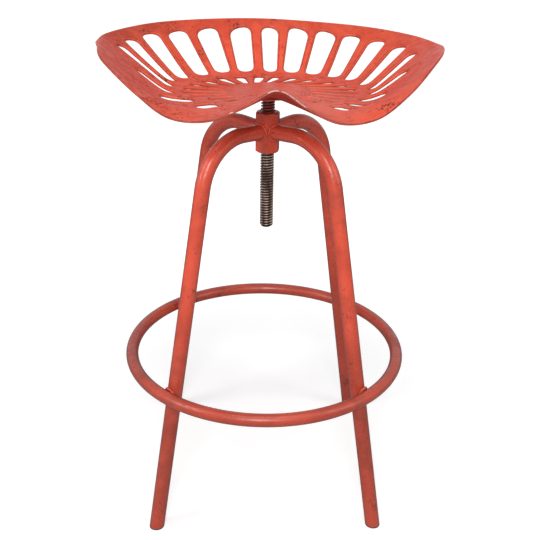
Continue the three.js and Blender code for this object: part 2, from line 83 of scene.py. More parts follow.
class Sheet:
    """A node tree that is filled one node at a time."""

    def __init__(self, tree: NodeTree) -> None:
        """Start on a tree."""
        self.tree = tree

    def add(self, kind: str, wires: dict[Any, Any] | None = None, **settings: Any) -> Node:
        """Add a node, set its options and fill its inputs.

        Args:
            kind: the node's type.
            wires: an output socket or a constant for each input, by name or place.
            settings: the node's own options.

        Returns:
            The new node.
        """
        node = self.tree.nodes.new(kind)
        for name, value in settings.items():
            setattr(node, name, value)
        return self.feed(node, wires or {})

    def feed(self, node: Node, wires: dict[Any, Any]) -> Node:
        """Fill a node's inputs, by name or place, with output sockets or constants."""
        for key, value in wires.items():
            if isinstance(value, NodeSocket):
                self.tree.links.new(value, node.inputs[key])
            else:
                node.inputs[key].default_value = value
        return node

    def math(self, operation: str, first: Any, second: Any = 0.0, third: Any = 0.0) -> NodeSocket:
        """Add a Math node and give its output."""
        return self.add("ShaderNodeMath", {0: first, 1: second, 2: third}, operation=operation).outputs[0]

    def plus(self, first: Any, second: Any) -> NodeSocket:
        """Add two values."""
        return self.math("ADD", first, second)

    def minus(self, first: Any, second: Any) -> NodeSocket:
        """Take the second value from the first."""
        return self.math("SUBTRACT", first, second)

    def times(self, first: Any, second: Any) -> NodeSocket:
        """Multiply two values."""
        return self.math("MULTIPLY", first, second)

    def swing(self, noise: Any, size: Any) -> NodeSocket:
        """Centre a noise value on zero and give it a size."""
        return self.times(self.minus(noise, 0.5), size)

    def length(self, first: Any, second: Any) -> NodeSocket:
        """Measure the length of a flat vector."""
        squares = [self.math("POWER", value, 2.0) for value in (first, second)]
        return self.math("SQRT", self.plus(*squares))

    def parts(self, vector: Any) -> list[NodeSocket]:
        """Split a vector into x, y and z."""
        return list(self.add("ShaderNodeSeparateXYZ", {0: vector}).outputs)

    def attribute(self, name: str) -> NodeSocket:
        """Read one of the piece's own point values."""
        node = self.add("ShaderNodeAttribute", attribute_name=name, attribute_type="GEOMETRY")
        return node.outputs["Fac"]

    def effect(self, group: NodeTree, inputs: dict[Any, Any]) -> Any:
        """Place a shared effect, fill its inputs by name and give its outputs."""
        return self.add("ShaderNodeGroup", inputs, node_tree=group).outputs

    def ramp(
        self, value: Any, low: Any, high: Any, start: float = 0.0, end: float = 1.0
    ) -> NodeSocket:
        """Add a smooth step between low and high, from the start value to the end value."""
        node = self.add(
            "ShaderNodeMapRange",
            {0: value, 1: low, 2: high, 3: start, 4: end},
            interpolation_type="SMOOTHSTEP",
        )
        return node.outputs[0]

    def mix(self, share: Any, first: Any, second: Any) -> NodeSocket:
        """Mix two colours by the share of the second."""
        node = self.add("ShaderNodeMix", data_type="RGBA")
        return self.feed(node, {0: share, 6: first, 7: second}).outputs[2]

    def noise(self, vector: Any, scale: Any, detail: float = 3.0, roughness: float = 0.5) -> NodeSocket:
        """Add a noise pattern of a scale, with finer layers by detail and roughness."""
        node = self.add(
            "ShaderNodeTexNoise",
            {"Vector": vector, "Scale": scale, "Detail": detail, "Roughness": roughness},
        )
        return node.outputs["Fac"]


def open_group(
    name: str, kind: str, inputs: dict[str, Any], outputs: Sequence[str]
) -> tuple[Sheet, Any, Any]:
    """Make a node group with named sockets.

    Args:
        name: the group's name.
        kind: the tree's type.
        inputs: for each input its default, or the kind of its socket where it has none.
        outputs: the names of the outputs: masks in a shader tree, and geometry in the others.

    Returns:
        The sheet to fill, the group's input sockets and its output node.
    """
    tree = bpy.data.node_groups.new(name, kind)
    for label, default in inputs.items():
        plain = isinstance(default, str)
        socket_type = "NodeSocket" + (default if plain else type(default).__name__.title())
        socket = tree.interface.new_socket(name=label, in_out="INPUT", socket_type=socket_type)
        if not plain:
            socket.default_value = default
    socket_type = "NodeSocketFloat" if kind == "ShaderNodeTree" else "NodeSocketGeometry"
    for label in outputs:
        tree.interface.new_socket(name=label, in_out="OUTPUT", socket_type=socket_type)
    sheet = Sheet(tree)
    entry = tree.nodes.new("NodeGroupInput")
    leave = tree.nodes.new("NodeGroupOutput")
    return sheet, entry.outputs, leave


# Effects that several finishes share


def mottle_group() -> NodeTree:
    """Make the group of broad tone changes in sprayed paint.

    Returns:
        A group that gives a tone from 0 to 1, a gloss mask and a surface height.
    """
    sheet, entry, leave = open_group(
        "paint_mottle",
        "ShaderNodeTree",
        {"Vector": "Vector", "Patch Scale": 14.0, "Grain Scale": 700.0},
        ["Tone", "Gloss", "Height"],
    )
    clouds_finer, swell_coarser = 6.0, 0.2
    patch_share, cloud_share, grain_share = 0.65, 0.35, 0.35
    tone_span, gloss_span = (0.34, 0.66), (0.3, 0.7)
    patches = sheet.noise(entry["Vector"], entry["Patch Scale"], 4.0, 0.6)
    cloud_scale = sheet.times(entry["Patch Scale"], clouds_finer)
    clouds = sheet.noise(entry["Vector"], cloud_scale, 3.0, 0.6)
    blend = sheet.plus(sheet.times(patches, patch_share), sheet.times(clouds, cloud_share))
    grain = sheet.noise(entry["Vector"], entry["Grain Scale"], 2.0, 0.5)
    swell_scale = sheet.times(entry["Grain Scale"], swell_coarser)
    swell = sheet.noise(entry["Vector"], swell_scale, 2.0, 0.5)
    sheet.feed(leave, {
        "Tone": sheet.ramp(blend, *tone_span),
        "Gloss": sheet.ramp(clouds, *gloss_span),
        "Height": sheet.plus(sheet.times(grain, grain_share), swell),
    })
    return sheet.tree


def specks_group() -> NodeTree:
    """Make the group of small dark specks, gathered in clusters.

    Returns:
        A group that gives the specks as a mask.
    """
    sheet, entry, leave = open_group(
        "paint_specks",
        "ShaderNodeTree",
        {"Vector": "Vector", "Speck Scale": 330.0, "Cluster Scale": 26.0, "Cluster Start": 0.5},
        ["Specks"],
    )
    drawn_out = (1.0, 0.55, 0.8)
    full_cluster, cluster_gain, speck_span = 0.72, 0.22, (0.66, 0.73)
    stretched = sheet.add("ShaderNodeMapping", {"Vector": entry["Vector"], "Scale": drawn_out})
    grains = sheet.noise(stretched.outputs[0], entry["Speck Scale"], 3.0, 0.65)
    clusters = sheet.noise(entry["Vector"], entry["Cluster Scale"], 4.0, 0.7)
    gathered = sheet.add(
        "ShaderNodeMapRange",
        {0: clusters, 1: entry["Cluster Start"], 2: full_cluster, 3: 0.0, 4: cluster_gain},
    )
    worn = sheet.plus(grains, gathered.outputs[0])
    sheet.feed(leave, {"Specks": sheet.ramp(worn, *speck_span)})
    return sheet.tree


def edge_wear_group() -> NodeTree:
    """Make the group of wear along edges, from the edge attribute of the piece.

    Returns:
        A group that gives the broken dark line and the bare spots as masks.
    """
    sheet, entry, leave = open_group(
        "edge_wear",
        "ShaderNodeTree",
        {"Vector": "Vector", "Edge": 0.0, "Reach": 0.55, "Break Scale": 90.0},
        ["Line", "Bare"],
    )
    break_size, spots_finer = 0.9, 2.3
    sharp_edge, spot_span, line_fade = (0.8, 1.0), (0.66, 0.72), 0.28
    ragged = sheet.noise(entry["Vector"], entry["Break Scale"], 4.0, 0.65)
    shifted = sheet.plus(entry["Edge"], sheet.swing(ragged, break_size))
    line = sheet.minus(shifted, entry["Reach"])
    spots = sheet.noise(entry["Vector"], sheet.times(entry["Break Scale"], spots_finer), 3.0, 0.6)
    bare = sheet.times(sheet.ramp(entry["Edge"], *sharp_edge), sheet.ramp(spots, *spot_span))
    sheet.feed(leave, {"Line": sheet.ramp(line, 0.0, line_fade), "Bare": bare})
    return sheet.tree


def stain_group() -> NodeTree:
    """Make the group of rubbed dark stains, streaky and broken at their borders.

    Returns:
        A group that gives the stains as a mask.
    """
    sheet, entry, leave = open_group(
        "rubbed_stains",
        "ShaderNodeTree",
        {"Vector": "Vector", "Stain Scale": 11.0, "Streak Scale": 60.0},
        ["Stain"],
    )
    drawn_out, streak_size, stain_span = (0.5, 1.0, 0.6), 0.55, (0.5, 0.72)
    patches = sheet.noise(entry["Vector"], entry["Stain Scale"], 3.0, 0.55)
    warped = sheet.add("ShaderNodeMapping", {"Vector": entry["Vector"], "Scale": drawn_out})
    streaks = sheet.noise(warped.outputs[0], entry["Streak Scale"], 5.0, 0.7)
    broken = sheet.plus(patches, sheet.swing(streaks, streak_size))
    sheet.feed(leave, {"Stain": sheet.ramp(broken, *stain_span)})
    return sheet.tree


def chip_group() -> NodeTree:
    """Make the group of one chipped place.

    Returns:
        A group that gives the chip round its centre as a mask.
    """
    sheet, entry, leave = open_group(
        "paint_chip",
        "ShaderNodeTree",
        {"Vector": "Vector", "Centre": "Vector", "Size": 0.004, "Ragged Scale": 380.0},
        ["Chip"],
    )
    ragged_size, chip_span = 2.2, (0.75, 1.0)
    ends = {0: entry["Vector"], 1: entry["Centre"]}
    away = sheet.add("ShaderNodeVectorMath", ends, operation="DISTANCE")
    ragged = sheet.noise(entry["Vector"], entry["Ragged Scale"], 2.0, 0.5)
    reach = sheet.math("DIVIDE", away.outputs["Value"], entry["Size"])
    edge = sheet.plus(reach, sheet.swing(ragged, ragged_size))
    sheet.feed(leave, {"Chip": sheet.ramp(edge, *chip_span, 1.0, 0.0)})
    return sheet.tree


@dataclass(frozen=True)
class Effects:
    """The shader groups, built once."""

    mottle: NodeTree
    specks: NodeTree
    wear: NodeTree
    stain: NodeTree
    chip: NodeTree

    @staticmethod
    def build() -> "Effects":
        """Build every group."""
        return Effects(mottle_group(), specks_group(), edge_wear_group(), stain_group(), chip_group())


# Finishes

Colour = tuple[float, float, float]


def opaque(colour: Colour) -> tuple[float, float, float, float]:
    """Give a colour its fourth value."""
    return (*colour, 1.0)


def new_material(name: str) -> tuple[Material, Sheet, Node]:
    """Make a material and give it with its sheet and its main shader."""
    material = bpy.data.materials.new(name)
    material.use_nodes = True
    return material, Sheet(material.node_tree), material.node_tree.nodes["Principled BSDF"]


@dataclass(frozen=True)
class Finish:
    """What every finish has: a name, a slot and a shader."""

    name: str
    slot: Slot

    def open(self) -> tuple[Material, Sheet, Node, NodeSocket]:
        """Start the material and give it, its sheet, its main shader and the object coordinates."""
        material, sheet, shader = new_material(self.name)
        return material, sheet, shader, sheet.add("ShaderNodeTexCoord").outputs["Object"]

    def bump(self, sheet: Sheet, shader: Node, height: Any, strength: float, depth: float) -> None:
        """Give the shader a bumpy surface.

        Args:
            sheet: the material's sheet.
            shader: the main shader.
            height: the height's socket.
            strength: how strong the bump is.
            depth: its depth in metres.
        """
        sizes = {"Height": height, "Strength": strength, "Distance": depth}
        node = sheet.add("ShaderNodeBump", sizes)
        sheet.feed(shader, {"Normal": node.outputs[0]})


@dataclass(frozen=True)
class Chip:
    """One chipped place in millimetres."""

    centre: tuple[float, float, float]
    size: float


@dataclass(frozen=True)
class WornPaint(Finish):
    """Orange-red paint with tone changes, specks, dark worn edges and bare chips, with painted shade at
    glancing angles, low down and from the piece's attribute, and a painted sheen in its pinkish grey.
    """

    light: Colour
    deep: Colour
    # This dark colour serves wear and painted shade alike: the dark marks and the darkening low down mix
    # towards it.
    worn: Colour = (0.055, 0.016, 0.012)
    bare: Colour = (0.42, 0.38, 0.36)
    gloss: float = 0.36
    dull: float = 0.5
    patch_scale: float = 14.0
    speck_start: float = 0.42
    speck_share: float = 0.8
    edge_reach: float = 0.55
    edge_share: float = 0.85
    grime_share: float = 0.78
    stain_share: float = 0.0
    # These three paint shade: the colour darkens at glancing angles, where the surface turns from view.
    graze: Colour = (0.5, 0.025, 0.006)
    graze_from: float = 0.5
    graze_share: float = 0.8
    grain: float = 0.16
    speck_fade: float = 0.0
    reflection: float = 0.14
    lip_gloss: float = 0.5
    speck_span: float = 0.12
    # These two paint shade: the paint turns darker towards the floor.
    low_share: float = 0.0
    low_heights: tuple[float, float] = (0.23, 0.36)
    # These four mix in a pinkish grey round the seat's middle: partly dusty wear, partly a painted sheen.
    dust: Colour = (0.46, 0.27, 0.24)
    dust_share: float = 0.0
    dust_place: tuple[float, float] = (0.015, -0.055)
    dust_reach: tuple[float, float] = (0.05, 0.15)
    relief: float = 0.8
    dirt_roughness: float = 0.25
    bare_metal: float = 0.9
    lip_roughness: float = 0.24
    bump_depth: float = 0.0004
    facing: float = 0.5
    least_handled: float = 0.35
    least_settled: float = 0.7
    chipped_edge: tuple[float, float] = (0.35, 0.6)
    chips: tuple[Chip, ...] = ()

    def build(self, effects: Effects) -> Material:
        """Build the material.

        Args:
            effects: the shared groups.

        Returns:
            The material.
        """
        material, sheet, shader, place = self.open()
        mottle = sheet.effect(effects.mottle, {"Vector": place, "Patch Scale": self.patch_scale})
        gloss = mottle["Gloss"]
        edge = sheet.attribute("edge")
        wear = sheet.effect(effects.wear, {"Vector": place, "Edge": edge, "Reach": self.edge_reach})
        dark = self.marks(sheet, effects, place, gloss, wear["Line"])
        bare = self.chipped(sheet, effects, place, edge, wear["Bare"])
        colour = sheet.mix(dark, self.clean(sheet, place, mottle), opaque(self.worn))
        # Painted shade: the colour darkens at glancing angles.
        facing = sheet.add("ShaderNodeLayerWeight", {"Blend": self.facing})
        grazing_shade = sheet.ramp(facing.outputs["Facing"], self.graze_from, 1.0, 0.0, self.graze_share)
        colour = sheet.mix(grazing_shade, colour, opaque(self.graze))
        colour = sheet.mix(bare, colour, opaque(self.bare))
        roughness = sheet.ramp(gloss, 0.0, 1.0, self.dull, self.gloss)
        roughness = sheet.plus(roughness, sheet.times(dark, self.dirt_roughness))
        worn_away = sheet.math("MAXIMUM", dark, bare)
        height = sheet.minus(mottle["Height"], sheet.times(worn_away, self.relief))
        sheet.feed(shader, {
            "Base Color": colour,
            "Roughness": roughness,
            "Metallic": sheet.times(bare, self.bare_metal),
            "Specular IOR Level": self.reflection,
            "Coat Roughness": self.lip_roughness,
            "Coat Weight": sheet.times(edge, self.lip_gloss),
        })
        self.bump(sheet, shader, height, self.grain, self.bump_depth)
        return material

    def clean(self, sheet: Sheet, place: Any, mottle: Any) -> NodeSocket:
        """Mix the paint's own colour, with painted shade low down and a pinkish grey, partly dusty wear
        and partly a painted sheen, where hands and legs rub.

        Args:
            sheet: the material's sheet.
            place: the object coordinates.
            mottle: the outputs of the tone changes.

        Returns:
            The colour's socket.
        """
        x, y, z = sheet.parts(place)
        colour = sheet.mix(mottle["Tone"], opaque(self.deep), opaque(self.light))
        # Painted shade: darker towards the floor.
        low = sheet.ramp(z, *self.low_heights, self.low_share, 0.0)
        colour = sheet.mix(low, colour, opaque(self.worn))
        # A pinkish grey round the seat's middle, partly dusty wear and partly a painted sheen.
        away = sheet.length(sheet.minus(x, self.dust_place[0]), sheet.minus(y, self.dust_place[1]))
        dust_and_sheen_mask = sheet.ramp(away, *self.dust_reach, self.dust_share, 0.0)
        patchy = sheet.ramp(mottle["Gloss"], 0.0, 1.0, 1.0, self.least_handled)
        return sheet.mix(sheet.times(dust_and_sheen_mask, patchy), colour, opaque(self.dust))

    def marks(self, sheet: Sheet, effects: Effects, place: Any, gloss: Any, line: Any) -> NodeSocket:
        """Gather the dark marks: specks, worn edges, dirt and painted shade from the piece's attribute,
        and rubbed stains.

        Args:
            sheet: the material's sheet.
            effects: the shared groups.
            place: the object coordinates.
            gloss: the gloss mask.
            line: the dark line along edges.

        Returns:
            The mask's socket.
        """
        x, _, _ = sheet.parts(place)
        fewest = self.speck_start + self.speck_fade
        start = sheet.ramp(x, -self.speck_span, self.speck_span, self.speck_start, fewest)
        specks = sheet.effect(effects.specks, {"Vector": place, "Cluster Start": start})
        stain = sheet.effect(effects.stain, {"Vector": place})
        # The piece's attribute holds patina and painted shade: lip creases, flange walls, the rim's
        # turned-under edge and the underside.
        uneven = sheet.ramp(gloss, 0.0, 1.0, 1.0, self.least_settled)
        settled_and_shaded = sheet.times(sheet.attribute("grime_and_shade"), uneven)
        dark = sheet.times(specks["Specks"], self.speck_share)
        for mark, share in (
            (line, self.edge_share),
            (settled_and_shaded, self.grime_share),
            (stain["Stain"], self.stain_share),
        ):
            dark = sheet.math("MAXIMUM", dark, sheet.times(mark, share))
        return dark

    def chipped(self, sheet: Sheet, effects: Effects, place: Any, edge: Any, bare: Any) -> NodeSocket:
        """Add the chips to the bare spots of the edges.

        Args:
            sheet: the material's sheet.
            effects: the shared groups.
            place: the object coordinates.
            edge: the piece's edge values.
            bare: the bare spots.

        Returns:
            The mask's socket.
        """
        for chip in self.chips:
            centre = [value * MM for value in chip.centre]
            sizes = {"Vector": place, "Centre": centre, "Size": chip.size * MM}
            spot = sheet.effect(effects.chip, sizes)
            near = sheet.times(spot["Chip"], sheet.ramp(edge, *self.chipped_edge))
            bare = sheet.math("MAXIMUM", bare, near)
        return bare


@dataclass(frozen=True)
class ThreadSteel(Finish):
    """Dark oiled steel, with overspray above a height and worn-bright crests; its roots and its streaks
    are darkened partly by oily dirt and partly by painted shade.
    """

    steel: Colour
    # This colour darkens the roots and the streaks: partly oily dirt, partly painted shade.
    dirt: Colour
    paint: Colour
    paint_from: float
    crest: float
    root: float
    # How strongly the streaks darken the rod: partly oily dirt, partly painted shade.
    streak_share: float = 0.85
    patch_scale: float = 40.0
    paint_fade: float = 1.5
    ragged_scale: float = 260.0
    ragged_height: float = 0.004
    drawn_out: tuple[float, float, float] = (1.0, 1.0, 0.12)
    # These two shape the streaks, partly oily dirt and partly painted shade.
    oil_scale: float = 130.0
    oil_span: tuple[float, float] = (0.42, 0.6)
    shine_span: tuple[float, float] = (0.55, 0.95)
    dull_and_gloss: tuple[float, float] = (0.42, 0.28)
    grain: float = 0.2
    bump_depth: float = 0.0003

    def build(self, effects: Effects) -> Material:
        """Build the material.

        Args:
            effects: the shared groups.

        Returns:
            The material.
        """
        material, sheet, shader, place = self.open()
        mottle = sheet.effect(effects.mottle, {"Vector": place, "Patch Scale": self.patch_scale})
        x, y, z = sheet.parts(place)
        # Crests keep the steel colour; the roots turn dark, partly oily dirt and partly painted shade in
        # the grooves.
        polish_and_root_shade = sheet.ramp(sheet.length(x, y), self.root * MM, self.crest * MM)
        ragged = sheet.noise(place, self.ragged_scale, 3.0)
        border = sheet.plus(z, sheet.times(ragged, self.ragged_height))
        painted = sheet.ramp(border, self.paint_from * MM, (self.paint_from + self.paint_fade) * MM)
        # Streaks down the rod, partly oily dirt and partly painted shade.
        drawn = sheet.add("ShaderNodeMapping", {"Vector": place, "Scale": self.drawn_out})
        oil_and_shade = sheet.ramp(sheet.noise(drawn.outputs[0], self.oil_scale, 3.0, 0.55), *self.oil_span)
        colour = sheet.mix(polish_and_root_shade, opaque(self.dirt), opaque(self.steel))
        colour = sheet.mix(sheet.times(oil_and_shade, self.streak_share), colour, opaque(self.dirt))
        coated = sheet.mix(polish_and_root_shade, opaque(self.dirt), opaque(self.paint))
        colour = sheet.mix(painted, colour, coated)
        shine = sheet.ramp(polish_and_root_shade, 0.0, 1.0, *self.shine_span)
        sheet.feed(shader, {
            "Base Color": colour,
            "Metallic": sheet.times(sheet.minus(1.0, painted), shine),
            "Roughness": sheet.ramp(mottle["Gloss"], 0.0, 1.0, *self.dull_and_gloss),
        })
        self.bump(sheet, shader, mottle["Height"], self.grain, self.bump_depth)
        return material


@dataclass(frozen=True)
class MouldedPlastic(Finish):
    """Matt black moulding with a fine grain and scuffed lip."""

    colour: Colour
    scuffed: Colour
    patch_scale: float = 90.0
    scuff_tones: tuple[float, float] = (0.2, 0.9)
    scuff_shares: tuple[float, float] = (0.2, 0.8)
    dull_and_gloss: tuple[float, float] = (0.65, 0.5)
    grain: float = 0.25
    bump_depth: float = 0.0003

    def build(self, effects: Effects) -> Material:
        """Build the material.

        Args:
            effects: the shared groups.

        Returns:
            The material.
        """
        material, sheet, shader, place = self.open()
        mottle = sheet.effect(effects.mottle, {"Vector": place, "Patch Scale": self.patch_scale})
        wear = sheet.effect(effects.wear, {"Vector": place, "Edge": sheet.attribute("edge")})
        patchy = sheet.ramp(mottle["Tone"], *self.scuff_tones, *self.scuff_shares)
        scuff = sheet.times(wear["Line"], patchy)
        colour = sheet.mix(scuff, opaque(self.colour), opaque(self.scuffed))
        sheet.feed(shader, {
            "Base Color": colour,
            "Roughness": sheet.ramp(mottle["Gloss"], 0.0, 1.0, *self.dull_and_gloss),
        })
        self.bump(sheet, shader, mottle["Height"], self.grain, self.bump_depth)
        return material


# Meshes


def placed(name: str, data: Any) -> Object:
    """Put new data into the scene as an object at the origin."""
    item = bpy.data.objects.new(name, data)
    bpy.context.scene.collection.objects.link(item)
    return item


def points_of(mesh: Mesh) -> np.ndarray:
    """Read a mesh's points as rows of x, y and z in metres."""
    places = np.empty(len(mesh.vertices) * 3)
    mesh.vertices.foreach_get("co", places)
    return places.reshape(-1, 3)


def make_piece(
    name: str,
    points: np.ndarray,
    faces: Sequence[Sequence[int]],
    edge: np.ndarray | None = None,
    grime_and_shade: np.ndarray | None = None,
) -> Object:
    """Make a smooth mesh object at the origin.

    Args:
        name: the piece's name.
        points: its points in millimetres.
        faces: the points of each face.
        edge: how much of an edge each point is on, from 0 to 1.
        grime_and_shade: how much dirt and painted shade each point carries, from 0 to 1.

    Returns:
        The object.
    """
    mesh = bpy.data.meshes.new(name)
    mesh.from_pydata((points * MM).tolist(), [], [list(face) for face in faces])
    mesh.polygons.foreach_set("use_smooth", [True] * len(mesh.polygons))
    for layer_name, values in (("edge", edge), ("grime_and_shade", grime_and_shade)):
        layer = mesh.attributes.new(layer_name, "FLOAT", "POINT")
        layer.data.foreach_set("value", np.zeros(len(points)) if values is None else values)
    mesh.update()
    return placed(name, mesh)


def volume_of(mesh: Mesh) -> float:
    """Measure a mesh's signed volume, which is below zero when its faces point inwards.

    Args:
        mesh: the mesh.

    Returns:
        The volume in cubic metres.
    """
    mesh.calc_loop_triangles()
    corners = np.empty(len(mesh.loop_triangles) * 3, dtype=int)
    mesh.loop_triangles.foreach_get("vertices", corners)
    a, b, c = points_of(mesh)[corners.reshape(-1, 3)].transpose(1, 0, 2)
    return float(np.einsum("ij,ij->i", a, np.cross(b, c)).sum() / 6)


def baked(source: Object, name: str) -> Object:
    """Turn an object with modifiers into a plain mesh object whose faces point outwards.

    Args:
        source: the object, which is removed.
        name: the new object's name.

    Returns:
        The plain object.
    """
    graph = bpy.context.evaluated_depsgraph_get()
    graph.update()
    mesh = bpy.data.meshes.new_from_object(
        source.evaluated_get(graph), preserve_all_data_layers=True, depsgraph=graph
    )
    bpy.data.objects.remove(source)
    mesh.name = name
    if volume_of(mesh) < 0:
        mesh.flip_normals()
    if "edge" not in mesh.attributes:
        mesh.attributes.new("edge", "FLOAT", "POINT")
    return placed(name, mesh)


def merged(pieces: Iterable[Object], name: str) -> Object:
    """Join plain mesh objects into one.

    Args:
        pieces: the objects, which are removed.
        name: the joined object's name.

    Returns:
        The joined object.
    """
    points: list[np.ndarray] = []
    edges: list[np.ndarray] = []
    faces: list[list[int]] = []
    start = 0
    material = None
    for piece in list(pieces):
        mesh = piece.data
        values = np.empty(len(mesh.vertices))
        mesh.attributes["edge"].data.foreach_get("value", values)
        points.append(points_of(mesh) / MM)
        edges.append(values)
        faces.extend([start + v for v in polygon.vertices] for polygon in mesh.polygons)
        start += len(values)
        material = mesh.materials[0] if mesh.materials else material
        bpy.data.objects.remove(piece)
    joined = make_piece(name, np.vstack(points), faces, np.concatenate(edges))
    if material:
        joined.data.materials.append(material)
    return joined


def turned(points: np.ndarray, degrees: float) -> np.ndarray:
    """Turn points about the Z axis.

    Args:
        points: rows of x, y and z.
        degrees: the angle.

    Returns:
        The turned points.
    """
    angle = math.radians(degrees)
    cos, sin = math.cos(angle), math.sin(angle)
    return points @ np.array([[cos, sin, 0], [-sin, cos, 0], [0, 0, 1]])


def round_angles(count: int) -> np.ndarray:
    """Spread directions evenly round a circle, in radians."""
    return np.linspace(0, 2 * math.pi, count, endpoint=False)


def loop_at(angle: np.ndarray, reach: np.ndarray | float, height: np.ndarray | float) -> np.ndarray:
    """Place a loop round the Z axis: its points' directions in radians, its reach and its height."""
    level = np.broadcast_to(height, angle.shape)
    return np.stack([np.cos(angle) * reach, np.sin(angle) * reach, level], 1)


def hill(value: Any, centre: float, spread: float) -> Any:
    """Rise smoothly to 1 at a centre and fall off on both sides of it."""
    return np.exp(-(((value - centre) / spread) ** 2))


def fitted(
    piece: Object,
    body: Body,
    slot: Slot,
    *nodes: str,
    material: Material | None = None,
) -> Object:
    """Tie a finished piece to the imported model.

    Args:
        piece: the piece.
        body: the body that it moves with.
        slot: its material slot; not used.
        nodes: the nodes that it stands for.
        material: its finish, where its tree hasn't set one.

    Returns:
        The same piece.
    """
    if material is not None:
        piece.data.materials.append(material)
    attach(piece, body.value)
    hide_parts(*nodes)
    return piece


def ring_between(first: np.ndarray, second: np.ndarray) -> np.ndarray:
    """Join two loops with triangles that face up where the first lies outside the second.

    Args:
        first: the point numbers of one loop, counter-clockwise.
        second: the point numbers of the other.

    Returns:
        Rows of three point numbers.
    """
    next_first, next_second = np.roll(first, -1), np.roll(second, -1)
    halves = [[first, next_first, next_second], [first, next_second, second]]
    return np.vstack([np.stack(half, 1) for half in halves])


def stack_of_loops(
    name: str, loops: Sequence[np.ndarray], edges: Sequence[float], closed: bool
) -> Object:
    """Make a piece from loops of equal length, each joined to the next.

    Args:
        name: the piece's name.
        loops: the loops of points, counter-clockwise seen from above, from the top down.
        edges: how much of an edge each loop is.
        closed: True joins the last loop to the first, and False closes each end with a fan.

    Returns:
        The object, its faces outwards.
    """
    count = len(loops[0])
    points = np.vstack(loops)
    edge = np.repeat(np.array(edges, dtype=float), count)
    ids = [np.arange(count) + count * k for k in range(len(loops))]
    quads: list[list[int]] = []
    pairs = list(zip(ids, ids[1:] + ids[:1])) if closed else list(zip(ids, ids[1:]))
    for above, below in pairs:
        quads.extend(np.stack([above, below, np.roll(below, -1), np.roll(above, -1)], 1).tolist())
    if not closed:
        centres = np.array([loops[0].mean(0), loops[-1].mean(0)])
        top, bottom = len(points), len(points) + 1
        points = np.vstack([points, centres])
        edge = np.concatenate([edge, [0.0, 0.0]])
        quads.extend([int(a), int(b), top] for a, b in zip(ids[0], np.roll(ids[0], -1)))
        quads.extend([int(b), int(a), bottom] for a, b in zip(ids[-1], np.roll(ids[-1], -1)))
    return make_piece(name, points, quads, edge)


def polygon_reach(bearings: np.ndarray, sides: int, face: float, corner: float) -> np.ndarray:
    """Measure how far a polygon with rounded corners reaches in each direction.

    Args:
        bearings: directions in radians from the middle of a face.
        sides: how many faces it has.
        face: the distance from the centre to a face.
        corner: the radius of its corners.

    Returns:
        The reach for each direction.
    """
    half = math.pi / sides
    off = np.abs((bearings + half) % (2 * half) - half)
    centre = (face - corner) / math.cos(half)
    turn = math.atan2((face - corner) * math.tan(half), face)
    away = half - off
    on_corner = centre * np.cos(away) + np.sqrt(np.maximum(corner**2 - (centre * np.sin(away)) ** 2, 0))
    return np.where(off < turn, face / np.cos(off), on_corner)


# Geometry node trees


def bead_tree() -> NodeTree:
    """Make the tree that lays a rippled weld bead along a line.

    Returns:
        The tree, with inputs for the bead's size, its ripples and how its ends taper.
    """
    sheet, entry, leave = open_group(
        "weld_bead",
        "GeometryNodeTree",
        {
            "Geometry": "Geometry",
            "Bead Radius": 0.002,
            "Ripple Length": 0.0022,
            "Ripple Share": 0.09,
            "Wander Scale": 260.0,
            "Wander": 0.7,
            "Taper": 0.0,
            "Taper Steepness": 3.0,
            "Blunt End": 0.02,
            "Sides": 12,
            "Step": 0.0006,
            "Material": "Material",
        },
        ["Geometry"],
    )
    line = sheet.add("GeometryNodeMeshToCurve", {0: entry["Geometry"]})
    spacing = {"Curve": line.outputs[0], "Length": entry["Step"]}
    even = sheet.add("GeometryNodeResampleCurve", spacing, mode="LENGTH")
    along = sheet.add("GeometryNodeSplineParameter")
    waves = sheet.math("DIVIDE", along.outputs["Length"], entry["Ripple Length"])
    wave = sheet.math("SINE", sheet.times(waves, 2 * math.pi))
    ripple = sheet.times(wave, entry["Ripple Share"])
    spot = sheet.add("GeometryNodeInputPosition")
    uneven = sheet.noise(spot.outputs[0], entry["Wander Scale"], 2.0)
    wander = sheet.swing(uneven, entry["Wander"])
    swell = sheet.plus(sheet.plus(ripple, wander), 1.0)
    off_middle = sheet.math("ABSOLUTE", sheet.minus(sheet.times(along.outputs["Factor"], 2.0), 1.0))
    from_end = sheet.times(sheet.minus(1.0, off_middle), entry["Taper Steepness"])
    from_end = sheet.plus(from_end, entry["Blunt End"])
    rounded = sheet.math("SQRT", sheet.math("MINIMUM", from_end, 1.0))
    open_end = sheet.minus(1.0, entry["Taper"])
    tapered = sheet.plus(sheet.times(rounded, entry["Taper"]), open_end)
    section = {"Resolution": entry["Sides"], "Radius": entry["Bead Radius"]}
    circle = sheet.add("GeometryNodeCurvePrimitiveCircle", section)
    skin = sheet.add(
        "GeometryNodeCurveToMesh",
        {
            "Curve": even.outputs[0],
            "Profile Curve": circle.outputs[0],
            "Scale": sheet.times(swell, tapered),
            "Fill Caps": True,
        },
    )
    finish_tree(sheet, skin.outputs[0], entry["Material"], leave)
    return sheet.tree


def tube_tree() -> NodeTree:
    """Make the tree that draws a round tube along a line.

    Returns:
        The tree, with inputs for the tube's radius and how many sides it has.
    """
    sheet, entry, leave = open_group(
        "drawn_tube",
        "GeometryNodeTree",
        {"Geometry": "Geometry", "Tube Radius": 0.011, "Sides": 40, "Material": "Material"},
        ["Geometry"],
    )
    line = sheet.add("GeometryNodeMeshToCurve", {0: entry["Geometry"]})
    section = {"Resolution": entry["Sides"], "Radius": entry["Tube Radius"]}
    circle = sheet.add("GeometryNodeCurvePrimitiveCircle", section)
    skin = sheet.add(
        "GeometryNodeCurveToMesh",
        {"Curve": line.outputs[0], "Profile Curve": circle.outputs[0], "Fill Caps": True},
    )
    finish_tree(sheet, skin.outputs[0], entry["Material"], leave)
    return sheet.tree


